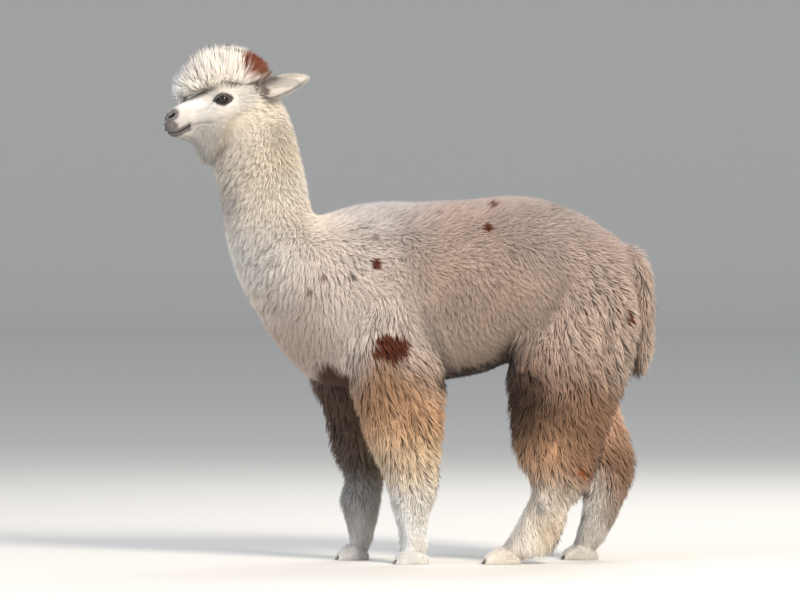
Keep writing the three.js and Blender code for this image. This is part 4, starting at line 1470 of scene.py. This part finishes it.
@dataclass
class EarFringe:
    """The short hair of one ear, longest along its rim."""

    ear: Ear
    count: int = 5200
    seed: int = 20
    coat: tuple[tuple[float, float], ...] = ((8, 26), (6, 24), (5, 21), (4.2, 18), (3.6, 15), (3, 12))
    width: float = 1.9  # of a tuft (mm); coat: depth and length from base to tip

    def form(self) -> Form:
        """The ear's coat as a form."""
        rows = [(0, 0, 0, 1, 1, depth, length, self.width) for depth, length in self.coat]
        return Form("ear", stations(*rows), Lie.FACE, self.ear.side)

    def roots(self) -> Roots:
        """Roots over the ear beyond its base."""
        verts, tris, share = self.ear.surface()
        corner = verts[tris]
        rng = np.random.default_rng(self.seed + self.ear.side)
        beyond = share[tris].mean(axis=1) > 0.03
        picked = scattered(doubled_area(corner) * beyond, self.count, rng)
        weights = rng.dirichlet(np.ones(3), self.count)
        normals = unit(weighted(weights, normals_of(verts, tris)[tris[picked]]))
        along = np.einsum("nk,nk->n", weights, share[tris[picked]])
        turn = (np.arctan2(normals[:, 2], normals[:, 1]) / (2 * math.pi)) % 1.0
        place = Place(np.zeros(self.count, int), along * (len(self.coat) - 1), turn)
        return Roots(weighted(weights, corner[picked]), normals, place)


# ---- Eyes and nails ----

@dataclass
class Eyeball:
    """One eye: a dark ball with a raised clear front, brown iris and level pupil."""

    orbit: Orbit
    side: int
    front: float = 38.0  # degrees from the axis to the rim of the clear front
    bulge: float = 1.1  # mm

    def build(self, finish: EyeFinish) -> None:
        """Makes the ball: radius plus bulge times (1 - (a / front)²)² at a degrees from the axis."""
        rings, columns = 72, 96
        polar = np.linspace(0.5, 179.5, rings)
        turn = circle(columns)
        radius = self.orbit.radius + self.bulge * np.clip(1 - (polar / self.front) ** 2, 0, None) ** 2
        a = np.radians(polar)[:, None]
        radius = radius[:, None]
        x = self.orbit.x + radius * np.sin(a) * np.cos(turn)
        z = self.orbit.z + radius * np.sin(a) * np.sin(turn)
        y = self.side * (self.orbit.y + radius * np.cos(a) * np.ones(columns))
        verts, tris = shell(np.stack([x, y, z], 2) * MM)
        eye = make_object(f"eyeball_{hand(self.side)}", verts, tris)
        x, _, z = in_mm(verts)
        px, pz = x - self.orbit.x, z - self.orbit.z
        out = np.hypot(px, pz)
        angle = np.arctan2(pz, px)
        streaks = 0.5 + 0.5 * noise(np.stack([np.cos(angle), np.sin(angle), out / 60], 1), 0.09, 91)
        iris = mixed(linear("#170e0a"), streaks, linear("#2e1c12"))
        pupil = np.hypot(px / 6.6, pz / 3.6)
        ring = smoothstep(8.6, 10.2, out) * smoothstep(12, 10.4, out) * 0.8
        colours = mixed(iris, smoothstep(10.0, 11.6, out), linear("#1d1714"))
        colours = mixed(colours, smoothstep(1.08, 0.92, pupil), linear("#050404"))
        paint(eye, mixed(colours, ring, linear("#0c0807")))
        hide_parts(f"eye_{hand(self.side)}")
        settle(eye, finish, "eye")


@dataclass
class Lashes:
    """Fine curved hairs along the upper lid."""

    orbit: Orbit
    side: int
    count: int = 46
    length: float = 13.0

    def build(self, finish: HairFinish) -> None:
        """Sweeps a thin tapered triangle along p + q L d - 0.45 q² L (0, 0, 1) for each hair."""
        rng = np.random.default_rng(5)
        share = np.linspace(-0.92, 0.95, self.count) + 0.02 * rng.standard_normal(self.count)
        along = share * self.orbit.half_length
        above = self.orbit.rim(along) + 0.6
        x, z = self.orbit.seen(along, above)
        y = self.orbit.ball(np.hypot(along, above), self.orbit.radius + 1.8)
        p = np.stack([x, self.side * y, z], 1)
        d = np.stack([-0.25 + 0.5 * share, self.side * np.ones(self.count), -0.05 + 0 * x], 1)
        d = unit(d + 0.12 * rng.standard_normal((self.count, 3)))
        length = self.length * (0.75 + 0.4 * rng.random(self.count))
        b = unit(np.cross(d, (0.0, 0.0, 1.0)))
        u = np.cross(b, d)
        spin = np.arange(3)[:, None] * (2 * math.pi / 3)
        ring = np.cos(spin) * b[:, None] + np.sin(spin) * u[:, None]
        rows = []
        for q, thick in ((0.0, 0.42), (0.35, 0.34), (0.7, 0.2), (1.0, 0.0)):
            middle = p + d * (q * length)[:, None] - np.array([0, 0, 0.45]) * (q * q * length)[:, None]
            rows.append(middle[:, None] + thick * ring if thick else middle[:, None])
        verts, tris, _ = Coat.gathered(rows)
        piece = make_object(f"lashes_{hand(self.side)}", verts * MM, tris)
        paint(piece, np.tile(linear("#8d857c"), (len(verts), 1)))
        settle(piece, finish, "white_hair")


@dataclass
class Nail:
    """One nail: a blunt ridged hook over the tip of its toe (mm)."""

    foot: Foot
    outer: int
    length: float = 24.0
    half: float = 8.5
    height: float = 15.0
    hover: float = 1.2

    def build(self, finish: NailFinish) -> None:
        """Lofts the nail and rings it with fine growth ridges, a sine along its length."""
        tip, y = self.foot.tip, self.foot.y + self.outer * (self.foot.apart + self.foot.splay)
        measures = (
            (tip, self.hover, tip + 1, self.hover + 3, self.half * 0.45),
            (tip + 3, self.hover, tip + 5, self.height * 0.55, self.half * 0.75),
            (tip + self.length * 0.4, self.hover + 1, tip + self.length * 0.5, self.height, self.half),
            (tip + self.length * 0.75, 6, tip + self.length * 0.9, self.height + 4, self.half * 0.8),
        )
        rows = stations(*((*row, 0.0, 5, 2, y) for row in measures))
        at = np.linspace(0, len(rows) - 1, 40)
        grid = Form("nail", rows, Lie.LEG, self.foot.side).rings(at, circle(28))
        middle = grid.mean(axis=1, keepdims=True)
        grid = middle + (grid - middle) * (1 + 0.02 * np.sin(at * 12))[:, None, None]
        verts, tris = shell(grid, dome=0.8 * MM, dome_rings=2)
        verts[:, 2] = np.maximum(verts[:, 2], SOLE)
        label = "outer" if self.outer > 0 else "inner"
        piece = make_object(f"{self.foot.leg}_claw_{label}", verts, tris)
        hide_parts(f"{self.foot.leg}_nail_{label}")
        settle(piece, finish, "nail")


# ---- Finishes ----

def add_node(tree: bpy.types.NodeTree, kind: str, settings: dict | None = None,
             inputs: dict | None = None) -> bpy.types.Node:
    """Adds a node.

    Args:
        tree: The node tree.
        kind: The node's type, without its "ShaderNode" start.
        settings: Properties to set on it.
        inputs: For each input, by name or number, a value or an output socket to link from.

    Returns:
        The node.
    """
    node = tree.nodes.new("ShaderNode" + kind)
    for key, value in (settings or {}).items():
        setattr(node, key, value)
    for key, value in (inputs or {}).items():
        if isinstance(value, Socket):
            tree.links.new(value, node.inputs[key])
        else:
            node.inputs[key].default_value = value
    return node


@dataclass(frozen=True)
class Finish:
    """A material, made once and worn by every piece that asks for it."""

    name: str

    def material(self) -> bpy.types.Material:
        """The material: made at the first call, found again at the others."""
        found = bpy.data.materials.get(self.name)
        if found is None:
            found = bpy.data.materials.new(self.name)
            found.use_nodes = True
            tree = found.node_tree
            tree.nodes.clear()
            shader = add_node(tree, "BsdfPrincipled", inputs=self.surface(tree))
            add_node(tree, "OutputMaterial", inputs={"Surface": shader.outputs["BSDF"]})
        return found

    def surface(self, tree: bpy.types.NodeTree) -> dict:
        """Inputs of the surface shader, by name."""
        raise NotImplementedError

    @staticmethod
    def tint(tree: bpy.types.NodeTree) -> Socket:
        """The piece's own colours."""
        return add_node(tree, "VertexColor", {"layer_name": TINT}).outputs["Color"]

    @staticmethod
    def place(tree: bpy.types.NodeTree) -> Socket:
        """Where on the piece the light falls, in metres."""
        return add_node(tree, "TexCoord").outputs["Object"]

    @staticmethod
    def mapped(tree: bpy.types.NodeTree, value: Socket, *limits: float) -> Socket:
        """The value moved from the first two limits to the last two."""
        inputs = dict(zip(("From Min", "From Max", "To Min", "To Max"), limits), Value=value)
        return add_node(tree, "MapRange", inputs=inputs).outputs["Result"]

    @staticmethod
    def scaled(tree: bpy.types.NodeTree, colour: Socket, gain: Socket) -> Socket:
        """The colour times the gain."""
        node = add_node(tree, "VectorMath", {"operation": "SCALE"}, {0: colour, "Scale": gain})
        return node.outputs["Vector"]


@dataclass(frozen=True)
class HairFinish(Finish):
    """Alpaca fibre, washed and dry: hollow, fine and matt, with a soft gleam at grazing angles."""

    name: str = "alpaca_fleece"
    roughness: float = 0.82
    sheen: float = 0.06
    streak: float = 2.2  # mm between lighter and darker strands
    contrast: float = 0.16

    def surface(self, tree: bpy.types.NodeTree) -> dict:
        """The tint with fine strand noise, matt, with sheen."""
        strands = add_node(tree, "TexNoise", inputs={
            "Vector": self.place(tree), "Scale": 1000 / self.streak, "Detail": 2.0, "Roughness": 0.6})
        fibre = strands.outputs["Fac"]
        gain = self.mapped(tree, fibre, 0.25, 0.75, 1 - self.contrast, 1 + self.contrast)
        return {
            "Base Color": self.scaled(tree, self.tint(tree), gain), "Roughness": self.roughness,
            "Specular IOR Level": 0.3, "Sheen Weight": self.sheen, "Sheen Roughness": 0.5,
        }


@dataclass(frozen=True)
class SkinFinish(Finish):
    """Living skin under hair: matt where haired, a little moist and pebbled on nose, lips and lids."""

    name: str = "skin_and_short_hair"
    haired: float = 0.85
    moist: float = 0.42
    pebble: float = 1.6  # mm
    lie: float = 1.1  # mm between lying hairs

    def surface(self, tree: bpy.types.NodeTree) -> dict:
        """The tint, roughness by how bare the skin is, and two bumps."""
        place = self.place(tree)
        bare = add_node(tree, "Attribute", {"attribute_name": "bare"})
        stretch = add_node(tree, "Mapping", inputs={"Vector": place, "Scale": (0.3, 1.0, 1.0)})
        hairs = add_node(tree, "TexNoise", inputs={
            "Vector": stretch.outputs["Vector"], "Scale": 1000 / self.lie, "Detail": 2.0})
        pebbles = add_node(tree, "TexVoronoi", inputs={"Vector": place, "Scale": 1000 / self.pebble})
        gain = self.mapped(tree, hairs.outputs["Fac"], 0.3, 0.7, 0.86, 1.12)
        grain = add_node(tree, "Bump", inputs={
            "Strength": 0.35, "Distance": 0.0006, "Height": hairs.outputs["Fac"]})
        relief = add_node(tree, "Bump", inputs={
            "Strength": 0.3, "Distance": 0.0005, "Height": pebbles.outputs["Distance"],
            "Normal": grain.outputs["Normal"]})
        return {
            "Base Color": self.scaled(tree, self.tint(tree), gain), "Specular IOR Level": 0.4,
            "Roughness": self.mapped(tree, bare.outputs["Fac"], 0.5, 1.0, self.haired, self.moist),
            "Normal": relief.outputs["Normal"],
        }


@dataclass(frozen=True)
class EyeFinish(Finish):
    """A wet eye: dark and deep under a clear film that mirrors the lights sharply."""

    name: str = "wet_eye"

    def surface(self, tree: bpy.types.NodeTree) -> dict:
        """The iris's tints under a smooth clear coat of tears (IOR 1.376)."""
        return {
            "Base Color": self.tint(tree), "Roughness": 0.12, "IOR": 1.376,
            "Specular IOR Level": 0.25, "Coat Weight": 0.55, "Coat Roughness": 0.02,
        }


@dataclass(frozen=True)
class NailFinish(Finish):
    """Horn: dull, worn and dusty, with growth rings across and fine grain along."""

    name: str = "toe_horn"
    colour: str = "#4b4139"
    worn: str = "#85786a"
    ring: float = 1.8  # mm between growth rings

    def surface(self, tree: bpy.types.NodeTree) -> dict:
        """Bands of horn colour with a bump, half dull."""
        bands = add_node(tree, "TexWave", {"bands_direction": "X"}, {
            "Vector": self.place(tree), "Scale": 1000 / self.ring / 20, "Distortion": 3.0, "Detail": 2.0})
        band = bands.outputs["Fac"]
        blend = add_node(tree, "Mix", {"data_type": "RGBA"}, {
            "Factor": band, 6: (*linear(self.colour), 1), 7: (*linear(self.worn), 1)})
        bump = add_node(tree, "Bump", inputs={"Strength": 0.4, "Distance": 0.0004, "Height": band})
        return {"Base Color": blend.outputs[2], "Normal": bump.outputs["Normal"], "Roughness": 0.5}


@dataclass(frozen=True)
class PaperFinish(Finish):
    """Matt paper."""

    name: str = "studio_paper"
    colour: str = "#dedbd5"

    def surface(self, tree: bpy.types.NodeTree) -> dict:
        """One plain matt colour."""
        return {"Base Color": (*linear(self.colour), 1), "Roughness": 0.9}


# ---- The studio ----

@dataclass
class Studio:
    """The camera, lights and floor."""

    distance: float = 16.67
    lens: float = 300.0
    height: float = 0.9
    aim: Point = (-0.026, 0.0, 0.655)
    middle: Point = (0.0, 0.0, 0.7)

    @staticmethod
    def put(name: str, data: bpy.types.ID, place: Point, aim: Point) -> bpy.types.Object:
        """Links a camera or light at a place, turned to what it looks at."""
        thing = bpy.data.objects.new(name, data)
        thing.location = place
        thing.rotation_euler = (Vector(aim) - thing.location).to_track_quat("-Z", "Y").to_euler()
        bpy.context.scene.collection.objects.link(thing)
        return thing

    def camera(self) -> None:
        """Looks along +Y from chest height, far off, through a long lens."""
        lens = bpy.data.cameras.new("camera")
        lens.lens = self.lens
        lens.sensor_width = 36.0
        lens.clip_end = 200.0
        back = math.sqrt(self.distance**2 - (self.height - self.aim[2]) ** 2)
        bpy.context.scene.camera = self.put("camera", lens, (self.aim[0], -back, self.height), self.aim)

    def floor(self) -> None:
        """A pale floor that curves up into a backdrop far behind: a quarter circle, then upright."""
        bend = np.linspace(0, math.pi / 2, 24)
        depth = np.concatenate([[-40.0], 30 + 4 * np.sin(bend), [34.0]])
        rise = np.concatenate([[0.0], 4 * (1 - np.cos(bend)), [20.0]])
        x = np.array([-40.0, 40.0])
        grid = np.stack(np.broadcast_arrays(x[None, :], depth[:, None], rise[:, None]), 2)
        a = np.arange(len(depth) - 1) * 2
        tris = np.concatenate([np.stack([a, a + 1, a + 2], 1), np.stack([a + 1, a + 3, a + 2], 1)])
        floor = make_object("studio_floor", grid.reshape(-1, 3), tris)
        floor.data.materials.append(PaperFinish().material())

    def light(self, name: str, place: Point, size: float, power: float, colour: str) -> None:
        """A square soft box at a place, turned to the model's middle."""
        lamp = bpy.data.lights.new(name, "AREA")
        lamp.size = size
        lamp.energy = power
        lamp.color = linear(colour)
        self.put(name, lamp, place, self.middle)

    def build(self) -> None:
        """Sets up the camera, the floor, the soft boxes and the room's faint light."""
        self.camera()
        self.floor()
        self.light("key", (4.2, -6.6, 5.2), 2.4, 1080, "#fff3e4")
        self.light("fill", (-5.5, -4.0, 3.0), 4.0, 240, "#e4edff")
        self.light("rim", (1.5, 3.6, 4.0), 3.0, 110, "#ffffff")
        world = bpy.data.worlds.new("room")
        world.use_nodes = True
        air = world.node_tree.nodes["Background"].inputs
        air["Color"].default_value = (*linear("#dfe6f0"), 1)
        air["Strength"].default_value = 0.62
        bpy.context.scene.world = world
        bpy.context.scene.view_settings.view_transform = "Standard"


# ---- The whole ----

def between(roots: Roots, form: Form, low: float, high: float) -> Roots:
    """The roots on one form between two of its stations."""
    at = roots.place.at
    return roots.pick((roots.place.form == FORMS.index(form)) & (at >= low) & (at < high))


SHORT = Lock(
    clump=13 * MM, gather=0.28, cracks=0.7, stray=13, root_shade=0.74, fine=0.54, crack_edge=0.16,
)
NECK = replace(
    SHORT, clump=12 * MM, long=1.5, gather=0.36, cracks=0.95, root_shade=0.86, tip_shade=1.06,
    crack_edge=0.13, gap_shade=0.62, vary=0.14, fine=0.5,
)
SHOULDER = replace(SHORT, long=3.2, gather=0.36, cracks=1.2, swirl=18, stray=11, gap_shade=0.65)
SHAGGY = Lock(
    levels=(0.0, 0.45), swell=(0.9, 1.0), bend=0.2, clump=19 * MM, long=2.4, gather=0.42, swirl=30,
    stray=10, fine=0.46, patch=0.32, vary=0.16, cracks=0.9,
)
CROWN = Lock(
    levels=(0.0, 0.35, 0.7), swell=(0.9, 1.0, 0.7), bend=0.1, clump=17 * MM, gather=0.4, swirl=12,
    stray=7, fine=0.5, cracks=0.5, root_shade=0.84, tip_shade=1.06, soften=3.0, lift=0.3, patch=0.14,
    vary=0.3, scatter=6 * MM,
)
FACE = Lock(
    clump=9 * MM, gather=0.25, cracks=0.3, swirl=16, stray=12, fine=0.46, root_shade=0.82,
    tip_shade=1.06, vary=0.24, patch=0.03, soften=1.6,
)
EAR = replace(FACE, stray=26, vary=0.5)

# Pieces of coat: name, form, its first station and the first of the next piece, lock and slot.
PIECES = (
    ("coat_neck", TRUNK_FORM, 0.0, 5.0, NECK, "cream_fleece"),
    ("coat_shoulder", TRUNK_FORM, 5.0, 8.8, SHOULDER, "fawn_fleece"),
    ("coat_ribs", TRUNK_FORM, 8.8, 10.7, SHORT, "fawn_fleece"),
    ("coat_flank", TRUNK_FORM, 10.7, 12.6, SHORT, "fawn_fleece"),
    ("coat_haunch", TRUNK_FORM, 12.6, math.inf, SHORT, "fawn_fleece"),
    ("coat_muzzle", HEAD_FORM, 0.0, 5.0, FACE, "white_hair"),
    ("coat_cheeks", HEAD_FORM, 5.0, math.inf, FACE, "white_hair"),
    ("coat_topknot", CROWN_FORM, 0.0, math.inf, CROWN, "white_hair"),
    ("coat_tail", TAIL_FORM, 0.0, math.inf, SHAGGY, "fawn_fleece"),
    *((f"coat_{leg.name}", leg, 0.0, math.inf, SHAGGY, "brown_fleece") for leg in LEG_FORMS),
)


def build_coat(skin: Skin) -> None:
    """Grows the coat piece by piece."""
    coat = Coat(skin)
    coat.plant()
    hair = HairFinish()
    for name, form, low, high, lock, slot in PIECES:
        coat.grow(name, between(coat.roots, form, low, high), form, lock, hair, slot)
    for fringe in map(EarFringe, skin.ears):
        name = f"coat_ear_{hand(fringe.ear.side)}"
        coat.grow(name, fringe.roots(), fringe.form(), EAR, hair, "white_hair")


def main() -> None:
    """Builds the model in its studio."""
    logging.basicConfig(level=logging.INFO, format="%(name)s %(relativeCreated)d ms: %(message)s")
    Studio().build()
    head = Head()
    skin = Skin(head, (Ear(LEFT), Ear(RIGHT)))
    skin.build()
    skin.dress(SkinFinish())
    for side in (LEFT, RIGHT):
        Eyeball(head.orbit, side).build(EyeFinish())
        Lashes(head.orbit, side).build(HairFinish())
    for foot in FEET:
        for outer in (-1, 1):
            Nail(foot, outer).build(NailFinish())
    build_coat(skin)
    LOG.info("bounds written")


if __name__ == "__main__":
    main()
